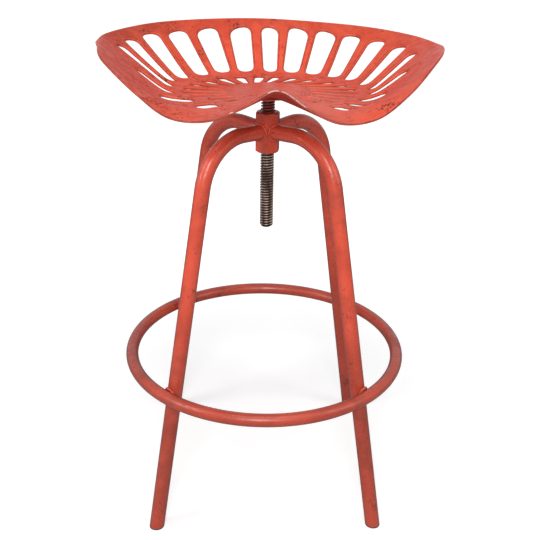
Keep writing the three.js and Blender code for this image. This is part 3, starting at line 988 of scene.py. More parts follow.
def thread_tree() -> NodeTree:
    """Make the tree that winds a trapezoidal thread into a rod with chamfered ends.

    Returns:
        The tree, with inputs for the rod's ends and its thread.
    """
    sheet, entry, leave = open_group(
        "wound_thread",
        "GeometryNodeTree",
        {
            "Geometry": "Geometry",
            "Low": 0.425,
            "High": 0.623,
            "Pitch": 0.004,
            "Crest Radius": 0.01,
            "Thread Depth": 0.00225,
            "Chamfer": 0.0025,
            "Crest Half": 0.13,
            "Root From": 0.28,
            "Turns Below": 2.0,
            "Seam": 2e-6,
            "Turn Steps": 40,
            "Pitch Steps": 14,
            "Material": "Material",
        },
        ["Geometry"],
    )
    length = sheet.minus(entry["High"], entry["Low"])
    whole = sheet.math("CEIL", sheet.math("DIVIDE", length, entry["Pitch"]))
    turns = sheet.plus(whole, sheet.plus(entry["Turns Below"], 1.0))
    rows = sheet.times(turns, entry["Pitch Steps"])
    grid = sheet.add(
        "GeometryNodeMeshGrid",
        {
            "Size X": 1.0,
            "Size Y": 1.0,
            "Vertices X": sheet.plus(entry["Turn Steps"], 1.0),
            "Vertices Y": sheet.plus(rows, 1.0),
        },
    )
    spot = sheet.add("GeometryNodeInputPosition")
    x, y, _ = sheet.parts(spot.outputs[0])
    share = sheet.plus(x, 0.5)
    climb = sheet.minus(sheet.times(sheet.plus(y, 0.5), turns), entry["Turns Below"])
    phase = sheet.math("FRACT", sheet.plus(climb, entry["Turns Below"]))
    rise = sheet.plus(sheet.times(sheet.plus(climb, share), entry["Pitch"]), entry["Low"])
    height = sheet.math("MAXIMUM", sheet.math("MINIMUM", rise, entry["High"]), entry["Low"])
    off_crest = sheet.math("ABSOLUTE", sheet.minus(phase, 0.5))
    flank = sheet.ramp(off_crest, entry["Crest Half"], entry["Root From"])
    crest = sheet.minus(entry["Crest Radius"], sheet.times(flank, entry["Thread Depth"]))
    above = sheet.minus(height, entry["Low"])
    below = sheet.minus(entry["High"], height)
    inner = sheet.minus(entry["Crest Radius"], entry["Chamfer"])
    limit = sheet.plus(sheet.math("MINIMUM", above, below), inner)
    radius = sheet.math("MINIMUM", crest, limit)
    inside = sheet.math("COMPARE", rise, height, 1e-7)
    radius = sheet.times(radius, inside)
    angle = sheet.times(share, 2 * math.pi)
    place = sheet.add(
        "ShaderNodeCombineXYZ",
        {
            0: sheet.times(radius, sheet.math("COSINE", angle)),
            1: sheet.times(radius, sheet.math("SINE", angle)),
            2: height,
        },
    )
    wound = {"Geometry": grid.outputs[0], "Position": place.outputs[0]}
    moved = sheet.add("GeometryNodeSetPosition", wound)
    seams = {"Geometry": moved.outputs[0], "Distance": entry["Seam"]}
    sewn = sheet.add("GeometryNodeMergeByDistance", seams)
    finish_tree(sheet, sewn.outputs[0], entry["Material"], leave)
    return sheet.tree


def finish_tree(sheet: Sheet, geometry: NodeSocket, material: NodeSocket, leave: Node) -> None:
    """End a tree with smooth shading, real geometry and a material.

    Args:
        sheet: the tree's sheet.
        geometry: what the tree has made.
        material: the material's socket.
        leave: the tree's output node.
    """
    smooth = sheet.add("GeometryNodeSetShadeSmooth", {"Geometry": geometry, "Shade Smooth": True})
    real = sheet.add("GeometryNodeRealizeInstances", {0: smooth.outputs[0]})
    dressed = sheet.add("GeometryNodeSetMaterial", {"Geometry": real.outputs[0], "Material": material})
    sheet.feed(leave, {0: dressed.outputs[0]})


@dataclass(frozen=True)
class Trees:
    """The geometry node trees, built once."""

    bead: NodeTree
    tube: NodeTree
    thread: NodeTree

    @staticmethod
    def build() -> "Trees":
        """Build every tree."""
        return Trees(bead_tree(), tube_tree(), thread_tree())


def grown(name: str, line: np.ndarray, closed: bool, tree: NodeTree, sizes: dict[str, Any]) -> Object:
    """Run a tree over a line of points and keep the result as a plain mesh.

    Args:
        name: the piece's name.
        line: the points in millimetres.
        closed: whether the line's ends meet.
        tree: the geometry node tree.
        sizes: the tree's inputs by name.

    Returns:
        The plain object.
    """
    count = len(line)
    mesh = bpy.data.meshes.new(name)
    links = [(i, i + 1) for i in range(count - 1)] + ([(count - 1, 0)] if closed else [])
    mesh.from_pydata((line * MM).tolist(), links, [])
    source = placed(name + "_line", mesh)
    modifier = source.modifiers.new("shape", "NODES")
    modifier.node_group = tree
    for item in tree.interface.items_tree:
        if item.in_out == "INPUT" and item.name in sizes:
            modifier[item.identifier] = sizes[item.name]
    return baked(source, name)


# Sub-assemblies


@dataclass
class Hub:
    """The long hexagon nut that the screw runs in."""

    face: float = 16.0
    low: float = 539.5
    high: float = 597.5
    bearing: float = 20.0
    corner: float = 1.4
    face_radius: float = 15.2
    chamfer_pitch: float = 35.0
    sink_radius: float = 11.6
    bore_radius: float = 10.3
    steps: int = 144

    def face_reach(self, bearings: np.ndarray) -> np.ndarray:
        """Measure how far the hub reaches in each direction, in degrees."""
        from_face = np.radians(bearings - self.bearing - 30.0)
        return polygon_reach(from_face, 6, self.face, self.corner)

    def loops(self) -> tuple[list[np.ndarray], list[float]]:
        """Lay out the loops of the nut, from its upper bore edge round the outside and back.

        Returns:
            The loops, and how much of an edge each is.
        """
        bearings = np.linspace(0, 360, self.steps, endpoint=False)
        angle = np.radians(bearings)
        reach = self.face_reach(bearings)
        drop = np.maximum(reach - self.face_radius, 0) * math.tan(math.radians(self.chamfer_pitch))
        sink = self.sink_radius - self.bore_radius
        half: list[tuple[Any, Any, float]] = [
            (self.bore_radius, -sink - 1.0, 0.0),
            (self.bore_radius, -sink, 0.6),
            (self.sink_radius - 0.25, -0.25, 0.5),
            (self.sink_radius, 0.0, 1.0),
            (self.sink_radius + 0.3, 0.0, 0.6),
            (self.face_radius - 0.3, 0.0, 0.3),
            (self.face_radius, -0.05, 1.0),
            (self.face_radius + 0.3, -0.22, 0.3),
            (reach - 0.35, -drop + 0.22, 0.3),
            (reach - 0.06, -drop - 0.05, 1.0),
            (reach, -drop - 0.4, 0.5),
            (reach, -drop - 1.6, 0.0),
        ]
        upper = [loop_at(angle, radius, self.high + height) for radius, height, _ in half]
        lower = [loop_at(angle, radius, self.low - height) for radius, height, _ in reversed(half)]
        edges = [edge for *_, edge in half]
        return upper + lower, edges + edges[::-1]

    def build(self, paint: Material) -> Object:
        """Build the nut.

        Args:
            paint: the frame's paint.

        Returns:
            The nut's object.
        """
        loops, edges = self.loops()
        piece = stack_of_loops("hub", loops, edges, closed=True)
        return fitted(piece, Body.FRAME, Slot.FRAME_PAINT, "hub_nut", material=paint)


@dataclass
class Leg:
    """One bent tube leg with its plug and its welds, in an upright plane through the screw."""

    corner: str
    bearing: float
    radius: float = 11.0
    root: float = 569.0
    foot_reach: float = 232.0
    lean: float = 11.6
    slope: float = 3.7
    bend_radius: float = 75.0
    bend_steps: int = 28
    straight_steps: int = 14
    sides: int = 48
    mitre_gap: float = 0.25
    hub_gap: float = 0.1
    coping_rounds: int = 6
    start_reach: float = 10.0
    start_length: float = 16.0
    foot_length: float = 6.0
    plug_lip: float = 2.5
    plug_depth: float = 18.0

    def axis_reach(self, height: float) -> float:
        """Measure how far from the screw the leg's straight part is at a height."""
        return self.foot_reach - math.tan(math.radians(self.lean)) * height

    def directions(self) -> tuple[np.ndarray, np.ndarray]:
        """Give the leg's directions out of the hub and down to the floor, as reach and height."""
        slope, lean = math.radians(self.slope), math.radians(self.lean)
        return np.array([math.cos(slope), math.sin(slope)]), np.array([math.sin(lean), -math.cos(lean)])

    def axis(self) -> np.ndarray:
        """Lay out the leg's centre line in its own plane.

        Returns:
            Rows of x, y and z in millimetres, from the hub to below the foot.
        """
        out, down = self.directions()
        lean, slope = math.radians(self.lean), math.radians(self.slope)
        reach = (self.foot_reach - math.tan(lean) * self.root) / (1 + math.tan(lean) * math.tan(slope))
        corner = np.array([reach, self.root + math.tan(slope) * reach])
        turn = math.pi / 2 + slope - lean
        start = corner - out * self.bend_radius * math.tan(turn / 2)
        centre = start + np.array([out[1], -out[0]]) * self.bend_radius
        angles = math.pi / 2 + slope - np.linspace(0, turn, self.bend_steps + 1)
        bend = centre + self.bend_radius * np.stack([np.cos(angles), np.sin(angles)], 1)
        first = np.array([self.start_reach, self.root + math.tan(slope) * self.start_reach])
        before = np.vstack([first, *np.linspace(first + out * self.start_length, start, 3)[:-1]])
        foot = np.array([self.axis_reach(self.plug_lip), self.plug_lip])
        last = foot - down * self.foot_length
        after = np.linspace(bend[-1], last, self.straight_steps + 1)[1:]
        line = np.vstack([before, bend, after, foot])
        return np.stack([line[:, 0], np.zeros(len(line)), line[:, 1]], 1)

    def hub_reach(self, hub: Hub, side: np.ndarray) -> np.ndarray:
        """Measure how far out the hub's faces lie in front of the leg.

        Args:
            hub: the hub.
            side: places across the leg.

        Returns:
            The reach for each place.
        """
        reach = np.full(side.shape, hub.face)
        for _ in range(self.coping_rounds):
            bearing = np.degrees(np.arctan2(side, reach))
            reach = np.sqrt(np.maximum(hub.face_reach(bearing + self.bearing) ** 2 - side**2, 1.0))
        return reach

    def coping(self, hub: Hub, count: int, growth: float, stand: float) -> np.ndarray:
        """Lay out the loop where the tube meets the hub and its neighbours.

        Args:
            hub: the hub.
            count: how many points the loop has.
            growth: how much wider than the tube the loop is.
            stand: how far in front of the hub it lies.

        Returns:
            Rows of x, y and z in the leg's own plane.
        """
        slope = math.radians(self.slope)
        angle = round_angles(count)
        side = (self.radius + growth) * np.sin(angle)
        lift = (self.radius + growth) * np.cos(angle) / math.cos(slope)
        reach = self.hub_reach(hub, side)
        reach = np.maximum(reach + stand, np.abs(side) + self.mitre_gap + stand)
        return np.stack([reach, side, self.root + math.tan(slope) * reach + lift], 1)

    def build_tube(self, hub: Hub, tree: NodeTree, paint: Material) -> Object:
        """Draw the tube, fit its upper end to the hub and cut its foot level.

        Args:
            hub: the hub.
            tree: the tube's tree.
            paint: the frame's paint.

        Returns:
            The tube's object.
        """
        name = f"leg_tube_{self.corner}"
        sizes = {"Tube Radius": self.radius * MM, "Sides": self.sides, "Material": paint}
        piece = grown(name, self.axis(), False, tree, sizes)
        mesh = piece.data
        points = points_of(mesh) / MM
        out, down = self.directions()
        slope, lean = math.radians(self.slope), math.radians(self.lean)
        near = points[:, 0] < self.start_reach + self.radius * math.sin(slope) + 1.0
        side = points[near, 1]
        reach = np.maximum(self.hub_reach(hub, side) + self.hub_gap, np.abs(side) + self.mitre_gap)
        travel = (reach - points[near, 0]) / out[0]
        points[near] += travel[:, None] * np.array([out[0], 0, out[1]])
        foot_axis = self.axis_reach(self.plug_lip)
        along = (points[:, 0] - foot_axis) * down[0] + (points[:, 2] - self.plug_lip) * down[1]
        low = along > -1.0
        travel = (points[low, 2] - self.plug_lip) / math.cos(lean)
        points[low] += travel[:, None] * np.array([down[0], 0, down[1]])
        points = turned(points, self.bearing)
        mesh.vertices.foreach_set("co", (points * MM).ravel())
        mesh.update()
        return fitted(piece, Body.FRAME, Slot.FRAME_PAINT, f"leg_{self.corner}")

    def build_plug(self, plastic: Material) -> Object:
        """Build the plug in the foot: a rounded lip under the tube and a spigot up its bore.

        Args:
            plastic: the plug's finish.

        Returns:
            The plug's object.
        """
        lean = math.radians(self.lean)
        angle = round_angles(self.sides)
        rows = [
            (self.plug_depth, self.radius - 3.2, 0.2),
            (self.plug_depth - 1.2, self.radius - 2.4, 0.2),
            (self.plug_lip, self.radius - 2.4, 0.0),
            (self.plug_lip - 0.05, self.radius - 0.5, 0.4),
            (self.plug_lip - 0.35, self.radius - 0.06, 0.9),
            (self.plug_lip - 0.7, self.radius, 1.0),
            (0.9, self.radius, 0.8),
            (0.35, self.radius - 0.25, 1.0),
            (0.0, self.radius - 0.9, 1.0),
            (0.0, self.radius - 2.5, 0.3),
            (0.5, self.radius - 4.0, 0.0),
            (0.5, self.radius - 7.0, 0.0),
        ]
        loops = []
        for height, radius, _ in rows:
            x = self.axis_reach(height) + np.cos(angle) * radius / math.cos(lean)
            loop = np.stack([x, np.sin(angle) * radius, np.full(self.sides, height)], 1)
            loops.append(turned(loop, self.bearing))
        piece = stack_of_loops(f"plug_{self.corner}", loops, [row[2] for row in rows], closed=False)
        return fitted(piece, Body.FRAME, Slot.BLACK_PLASTIC, f"foot_plug_{self.corner}", material=plastic)


@dataclass
class Welds:
    """The rippled beads that join the frame."""

    hub_bead: float = 2.0
    hub_grow: float = 0.2
    hub_stand: float = 0.4
    hub_points: int = 90
    ring_bead: float = 2.3
    ring_points: int = 64
    sides: int = 14
    ring_half_width: float = 7.0
    ring_half_height: float = 8.4

    def build_hub_beads(self, legs: Sequence[Leg], hub: Hub, tree: NodeTree, paint: Material) -> Object:
        """Lay a bead round the upper end of each leg; neighbours cross at the hub.

        Args:
            legs: the four legs.
            hub: the hub.
            tree: the bead's tree.
            paint: the frame's paint.

        Returns:
            The object of all four beads.
        """
        beads = []
        sizes = {"Bead Radius": self.hub_bead * MM, "Sides": self.sides, "Material": paint}
        for leg in legs:
            loop = leg.coping(hub, self.hub_points, self.hub_grow, self.hub_stand)
            loop = turned(loop, leg.bearing)
            beads.append(grown(f"hub_bead_{leg.corner}", loop, True, tree, sizes))
        piece = merged(beads, "hub_beads")
        return fitted(piece, Body.FRAME, Slot.FRAME_PAINT, *[f"hub_weld_{side}" for side in SIDES])

    def build_ring_bead(
        self, leg: Leg, ring: "FootrestRing", tree: NodeTree, paint: Material
    ) -> Object:
        """Lay a saddle bead in the hollow between the ring and a leg.

        Args:
            leg: the leg.
            ring: the ring.
            tree: the bead's tree.
            paint: the frame's paint.

        Returns:
            The bead's object.
        """
        lean = math.radians(leg.lean)
        touch = leg.axis_reach(ring.height) + leg.radius / math.cos(lean)
        angle = round_angles(self.ring_points)
        side = self.ring_half_width * np.cos(angle)
        lift = self.ring_half_height * np.sin(angle)
        saddle = (lift**2 / (2 * ring.radius) - side**2 / (2 * leg.radius)) / 2
        depth = touch + saddle - math.tan(lean) * lift / 2
        loop = turned(np.stack([depth, side, ring.height + lift], 1), leg.bearing)
        sizes = {"Bead Radius": self.ring_bead * MM, "Sides": self.sides, "Material": paint}
        piece = grown(f"ring_bead_{leg.corner}", loop, True, tree, sizes)
        return fitted(piece, Body.FRAME, Slot.FRAME_PAINT, f"ring_weld_{leg.corner}")


@dataclass
class FootrestRing:
    """The round tube outside the legs."""

    radius: float = 9.35
    height: float = 220.0
    gap: float = 0.05
    steps: int = 180
    sides: int = 40

    def reach(self, leg: Leg) -> float:
        """Measure the ring's radius to its centre line, outside the legs."""
        apart = leg.radius + self.radius + self.gap
        return leg.axis_reach(self.height) + apart / math.cos(math.radians(leg.lean))

    def build(self, leg: Leg, tree: NodeTree, paint: Material) -> Object:
        """Draw the ring.

        Args:
            leg: a leg, which sets how wide the ring is.
            tree: the tube's tree.
            paint: the frame's paint.

        Returns:
            The ring's object.
        """
        line = loop_at(round_angles(self.steps), self.reach(leg), self.height)
        sizes = {"Tube Radius": self.radius * MM, "Sides": self.sides, "Material": paint}
        piece = grown("footrest", line, True, tree, sizes)
        return fitted(piece, Body.FRAME, Slot.FRAME_PAINT, "footrest_ring")


@dataclass
class Screw:
    """The threaded rod with its collar."""

    low: float = 425.0
    high: float = 623.0
    crest: float = 10.0
    depth: float = 2.6
    pitch: float = 4.0
    chamfer: float = 2.5
    collar_bead: float = 2.1
    collar_points: int = 60
    collar_out: float = 0.55
    collar_drop: float = 0.8

    def build(self, tree: NodeTree, steel: Material) -> Object:
        """Wind the rod.

        Args:
            tree: the thread's tree.
            steel: the rod's finish.

        Returns:
            The rod's object.
        """
        sizes = {
            "Low": self.low * MM,
            "High": self.high * MM,
            "Pitch": self.pitch * MM,
            "Crest Radius": self.crest * MM,
            "Thread Depth": self.depth * MM,
            "Chamfer": self.chamfer * MM,
            "Material": steel,
        }
        line = np.array([[0, 0, self.low], [0, 0, self.high]])
        piece = grown("screw", line, False, tree, sizes)
        return fitted(piece, Body.SEAT, Slot.BARE_STEEL, "height_screw")

    def build_collar(self, plate_low: float, tree: NodeTree, paint: Material) -> Object:
        """Lay the round weld between the rod and the plate.

        Args:
            plate_low: the plate's underside.
            tree: the bead's tree.
            paint: the seat's paint.

        Returns:
            The weld's object.
        """
        reach = self.crest + self.collar_bead * self.collar_out
        height = plate_low - self.collar_bead * self.collar_drop
        line = loop_at(round_angles(self.collar_points), reach, height)
        sizes = {"Bead Radius": self.collar_bead * MM, "Material": paint}
        piece = grown("collar_bead", line, True, tree, sizes)
        return fitted(piece, Body.LIFT, Slot.SEAT_PAINT, "screw_collar")


@dataclass
class SeatPlate:
    """The square plate under the seat and its four welds."""

    side: float = 66.0
    low: float = 620.0
    high: float = 623.0
    corner: float = 3.0
    bevel: float = 0.6
    bore: float = 10.3
    bearing: float = 1.8
    steps: int = 120
    weld_length: float = 17.0
    weld_bead: float = 2.2
    weld_points: int = 20
    weld_out: float = 0.45
    weld_drop: float = 0.75

    def build(self, paint: Material) -> Object:
        """Build the plate.

        Args:
            paint: the seat's paint.

        Returns:
            The plate's object.
        """
        angle = round_angles(self.steps)
        reach = polygon_reach(angle, 4, self.side / 2, self.corner)
        rows: list[tuple[Any, float, float]] = [
            (self.bore, self.high, 0.6),
            (reach - self.bevel, self.high, 0.4),
            (reach - self.bevel * 0.3, self.high - self.bevel * 0.3, 1.0),
            (reach, self.high - self.bevel, 0.7),
            (reach, self.low + self.bevel, 0.7),
            (reach - self.bevel * 0.3, self.low + self.bevel * 0.3, 1.0),
            (reach - self.bevel, self.low, 0.4),
            (reach * 0.7, self.low, 0.0),
            (self.bore, self.low, 0.6),
        ]
        loops = [turned(loop_at(angle, out, height), self.bearing) for out, height, _ in rows]
        piece = stack_of_loops("plate", loops, [row[2] for row in rows], closed=True)
        return fitted(piece, Body.SEAT, Slot.SEAT_PAINT, "seat_plate", material=paint)

    def build_weld(self, side: str, bearing: float, tree: NodeTree, paint: Material) -> Object:
        """Lay one bead between the plate's edge and the seat.

        Args:
            side: the side's name.
            bearing: the side's bearing.
            tree: the bead's tree.
            paint: the seat's paint.

        Returns:
            The bead's object.
        """
        across = np.linspace(-self.weld_length / 2, self.weld_length / 2, self.weld_points)
        reach = np.full(self.weld_points, self.side / 2 + self.weld_bead * self.weld_out)
        height = np.full(self.weld_points, self.high - self.weld_bead * self.weld_drop)
        line = turned(np.stack([reach, across, height], 1), bearing + self.bearing)
        sizes = {"Bead Radius": self.weld_bead * MM, "Taper": 1.0, "Material": paint}
        piece = grown(f"plate_bead_{side}", line, False, tree, sizes)
        return fitted(piece, Body.SEAT, Slot.SEAT_PAINT, f"plate_weld_{side}")


# Seat rim from the pommel by the right side and the back to the left side: the bearing in degrees
# from the right, the reach as a share of half the width, the rise above the disc as a share of the
# seat's depth, the flat radius as a share of the disc's, and the knee, where from disc to rim the dish
# turns up. Programs fitted the reach and the rise to the photograph, and flat and knee up to -8 degrees
RIM_SHARES: tuple[tuple[float, ...], ...] = (
    (-90, 0.698, 0.565, 0.56, 0),
    (-76, 0.673, 0.217, 0.5, 0),
    (-62, 0.734, -0.067, 0.76, 0),
    (-50, 0.83, 0.012, 1, 0.56),
    (-38, 0.896, 0.386, 1, 0.59),
    (-24, 0.955, 0.848, 1, 0.59),
    (-8, 0.983, 0.953, 1, 0.51),
    (10, 1.019, 0.877, 1, 0.46),
    (28, 1.052, 0.853, 1, 0.42),
    (48, 1.024, 0.881, 1, 0.4),
    (68, 0.91, 0.948, 1, 0.4),
    (90, 0.837, 1.012, 1, 0.4),
    (112, 0.921, 0.986, 1, 0.4),
    (132, 1.029, 0.942, 1, 0.4),
    (152, 1.07, 0.882, 1, 0.42),
    (170, 0.999, 0.91, 1, 0.46),
    (188, 0.956, 0.988, 1, 0.52),
    (204, 0.971, 0.862, 1, 0.58),
    (218, 0.901, 0.389, 1, 0.6),
    (230, 0.851, 0.049, 1, 0.5),
    (242, 0.768, 0.007, 0.85, 0.1),
    (256, 0.742, 0.27, 0.6, 0),
)

# Long slots outside the waist: bearings of the outer and the inner end, how far out each end lies from
# disc to rim, and the width at each end as a share of the slot width. Programs worked out the bearings
# and the places from points read in the photograph
LONG_SLOTS: tuple[tuple[float, ...], ...] = (
    (86, 85, 0.908, 0.404, 0.84, 0.6),
    (100.3, 102.9, 0.904, 0.403, 1.04, 0.72),
    (114.9, 118.7, 0.902, 0.399, 1.06, 0.72),
    (127.1, 133.8, 0.893, 0.385, 1, 0.66),
    (137.9, 149.2, 0.906, 0.405, 0.93, 0.6),
    (148.1, 160.6, 0.892, 0.442, 0.73, 0.52),
    (157, 172.3, 0.877, 0.431, 0.58, 0.46),
    (176.1, 187.6, 0.719, 0.435, 0.72, 0.48),
    (199.4, 208.1, 0.566, 0.348, 0.8, 0.66),
    (222.9, 226.3, 0.51, 0.305, 0.76, 0.64),
    (72.6, 70.1, 0.913, 0.395, 0.98, 0.7),
    (60.7, 55.1, 0.902, 0.383, 1, 0.68),
    (50.3, 39.8, 0.885, 0.386, 0.9, 0.6),
    (38.7, 26.8, 0.876, 0.411, 0.86, 0.58),
    (26.3, 11.8, 0.87, 0.437, 0.76, 0.52),
    (14.1, -1.4, 0.858, 0.469, 0.58, 0.4),
    (-2.8, -11.1, 0.743, 0.464, 0.78, 0.4),
    (-17.6, -25.8, 0.609, 0.449, 0.78, 0.6),
    (-36.8, -34.1, 0.652, 0.406, 0.5, 0.45),
    (-46.4, -46, 0.601, 0.399, 0.5, 0.48),
)

# Short slots round the disc: bearing of the outer end, its place from disc to rim, and its width as a
# share of the ring slot width. Bearings and places were made as those of the long slots
RING_SLOTS: tuple[tuple[float, ...], ...] = (
    (-42.3, 0.22, 0.5),
    (-35.6, 0.324, 0.5),
    (-25.4, 0.338, 0.6),
    (-16.4, 0.368, 0.65),
    (-6.4, 0.388, 0.8),
    (3.2, 0.373, 1),
    (16, 0.336, 1),
    (29.6, 0.301, 1),
    (46, 0.262, 1),
    (61.2, 0.264, 1),
    (77.9, 0.28, 0.9),
    (93.8, 0.293, 0.9),
    (112.4, 0.281, 1),
    (128.4, 0.288, 1),
    (144.2, 0.281, 1),
    (159, 0.314, 1),
    (172.8, 0.352, 1),
    (184.6, 0.369, 0.85),
    (196.2, 0.324, 0.75),
    (209.9, 0.238, 0.75),
    (223.9, 0.187, 0.75),
)


@dataclass
class SlotLip:
    """How the sheet turns down round one kind of slot."""

    round_over: float
    flange: float
    wall: float
    spacing: float


@dataclass(frozen=True)
class GrimePatch:
    """A stretch of the rim that has gathered dirt."""

    bearing: float
    spread: float
    share: float


@dataclass
class SeatPan:
    """The dished seat with its slots, whose edges turn down into flanges."""

    disc_top: float = 626.0
    thickness: float = 3.0
    half_width: float = 240.0
    depth: float = 69.0
    disc_radius: float = 54.0
    bearing: float = 1.8
    slot_width: float = 32.0
    ring_slot_width: float = 17.0
    ring_start: float = 0.03
    ring_neck: float = 0.42
    ring_bearings: tuple[float, float] = (-46.0, 226.0)
    cap_length: float = 0.42
    cap_sharpness: float = 2.4
    inner_cap_length: float = 0.56
    cap_points: int = 14
    side_points: int = 18
    patina_from: float = 0.62
    patina_power: float = 1.5
    patches: tuple[GrimePatch, ...] = (
        GrimePatch(148.0, 32.0, 0.66),
        GrimePatch(62.0, 50.0, 0.36),
        GrimePatch(205.0, 22.0, 0.3),
    )
    knee_softness: float = 0.09
    rim_points: int = 320
    rim_steps: int = 6
    rim_wear_angle: float = 50.0
    rim_wear_spread: float = 38.0
    rim_wear_least: float = 0.3
    rim_grime: float = 0.65
    lip_steps: int = 6
    crease_angle: float = 18.0
    crease_spread: float = 14.0
    grid_step: float = 6.0
    rib_share: float = 0.47
    long_lip: SlotLip = field(default_factory=lambda: SlotLip(3.2, 4.3, 1.9, 3.4))
    ring_lip: SlotLip = field(default_factory=lambda: SlotLip(2.6, 4.2, 1.5, 2.2))

    def rim_row(self, bearings: np.ndarray) -> np.ndarray:
        """Read the rim table at any bearing, eased between its rows.

        Args:
            bearings: directions in degrees.

        Returns:
            Rows of reach, rise, flat and knee shares.
        """
        table = np.array(RIM_SHARES)
        before, after = table[-2:].copy(), table[:3].copy()
        before[:, 0] -= 360
        after[:, 0] += 360
        table = np.vstack([before, table, after])
        knots, values = table[:, 0], table[:, 1:]
        where = (bearings - RIM_SHARES[0][0]) % 360 + RIM_SHARES[0][0]
        i = np.searchsorted(knots, where, side="right") - 1
        a, b, c, d = (knots[i + k] for k in (-1, 0, 1, 2))
        p, q, r, s = (values[i + k] for k in (-1, 0, 1, 2))
        t = ((where - b) / (c - b))[:, None]
        start = (r - p) * ((c - b) / (c - a))[:, None]
        end = (s - q) * ((c - b) / (d - b))[:, None]
        rise = 3 * t**2 - 2 * t**3
        return q + (r - q) * rise + start * (t**3 - 2 * t**2 + t) + end * (t**3 - t**2)

    def heights(self, plan: np.ndarray) -> np.ndarray:
        """Measure the height of the dish over the plan.

        Args:
            plan: rows of x and y.

        Returns:
            The heights.
        """
        x, y = plan.T
        reach, rise, flat, knee = self.rim_row(np.degrees(np.arctan2(y, x))).T
        rim, flat = reach * self.half_width, flat * self.disc_radius
        share = np.maximum(0, (np.hypot(x, y) - flat) / (rim - flat))
        start = self.turned_up(-knee)
        climb = (self.turned_up(share - knee) - start) / (self.turned_up(1 - knee) - start)
        return self.disc_top + rise * self.depth * climb

    def turned_up(self, share: np.ndarray) -> np.ndarray:
        """Stay level up to zero and rise straight after it, with a soft turn between."""
        return share + np.hypot(share, self.knee_softness)

    def normals(self, plan: np.ndarray) -> np.ndarray:
        """Find the direction that the dish faces.

        Args:
            plan: rows of x and y.

        Returns:
            Rows of unit vectors.
        """
        step = 0.5
        slope_x = self.heights(plan + [step, 0]) - self.heights(plan - [step, 0])
        slope_y = self.heights(plan + [0, step]) - self.heights(plan - [0, step])
        facing = np.stack([-slope_x, -slope_y, np.full(len(plan), 2 * step)], 1)
        return facing / np.linalg.norm(facing, axis=1, keepdims=True)

    def plan_point(self, bearing: float, share: float) -> np.ndarray:
        """Find the plan point a share of the way from disc to rim."""
        reach, _, flat, _ = self.rim_row(np.array([bearing]))[0]
        rim, flat = reach * self.half_width, flat * self.disc_radius
        away = flat + share * (rim - flat)
        return away * np.array([math.cos(math.radians(bearing)), math.sin(math.radians(bearing))])

    def slot_outline(
        self,
        outer: np.ndarray,
        inner: np.ndarray,
        outer_width: float,
        inner_width: float,
        spacing: float,
    ) -> np.ndarray:
        """Lay out a slot's outline in plan.

        Args:
            outer: its outer end.
            inner: its inner end.
            outer_width: its width at the outer end.
            inner_width: its width at the inner end.
            spacing: how far apart the points are.

        Returns:
            Rows of x and y, counter-clockwise.
        """
        length = float(np.linalg.norm(inner - outer))
        along = (inner - outer) / length
        across = np.array([-along[1], along[0]])
        turn = np.linspace(0, math.pi / 2, self.cap_points)
        forward = 1 - np.cos(turn) ** (2 / self.cap_sharpness)
        wide = np.sin(turn) ** (2 / self.cap_sharpness)
        outer_cap = self.cap_length * outer_width / length
        inner_cap = self.inner_cap_length * inner_width / length
        straight = np.linspace(outer_cap, 1 - inner_cap, self.side_points + 2)[1:-1]
        share = np.concatenate([forward * outer_cap, straight, 1 - (forward * inner_cap)[::-1]])
        round_off = np.concatenate([wide, np.ones(self.side_points), wide[::-1]])
        half = (outer_width + (inner_width - outer_width) * share) / 2 * round_off
        middle = outer + along * (share * length)[:, None]
        left = middle + across * half[:, None]
        right = middle - across * half[:, None]
        outline = np.vstack([right, left[::-1][1:-1]])
        return resampled(counter_clockwise(outline), spacing)

    def outlines(self) -> list[tuple[np.ndarray, SlotLip]]:
        """Lay out every slot.

        Returns:
            Each outline with its lip.
        """
        found = []
        for outer, inner, outer_share, inner_share, outer_wide, inner_wide in LONG_SLOTS:
            outline = self.slot_outline(
                self.plan_point(outer, outer_share),
                self.plan_point(inner, inner_share),
                outer_wide * self.slot_width,
                inner_wide * self.slot_width,
                self.long_lip.spacing,
            )
            found.append((outline, self.long_lip))
        inner_bearings = np.linspace(*self.ring_bearings, len(RING_SLOTS))
        for (bearing, outer_share, wide), inner in zip(RING_SLOTS, inner_bearings):
            outline = self.slot_outline(
                self.plan_point(bearing, outer_share),
                self.plan_point(float(inner), self.ring_start),
                wide * self.ring_slot_width,
                self.ring_neck * self.ring_slot_width,
                self.ring_lip.spacing,
            )
            found.append((outline, self.ring_lip))
        return found

    def rim_outline(self) -> np.ndarray:
        """Lay out the rim in plan, evenly spaced and counter-clockwise."""
        bearings = np.linspace(-90, 270, 1440, endpoint=False)
        reach = self.rim_row(bearings)[:, 0] * self.half_width
        angle = np.radians(bearings)
        outline = np.stack([np.cos(angle) * reach, np.sin(angle) * reach], 1)
        total = np.linalg.norm(np.roll(outline, -1, 0) - outline, axis=1).sum()
        return resampled(outline, total / self.rim_points)

    def loop_frame(self, outline: np.ndarray) -> tuple[np.ndarray, np.ndarray]:
        """Find which way the dish faces along a loop, and the way out of the loop.

        Args:
            outline: the loop in plan.

        Returns:
            Facings and outward directions.
        """
        points = self.on_dish(outline)
        facing = self.normals(outline)
        along = np.roll(points, -1, 0) - np.roll(points, 1, 0)
        outward = np.cross(along, facing)
        outward /= np.linalg.norm(outward, axis=1, keepdims=True)
        return facing, outward

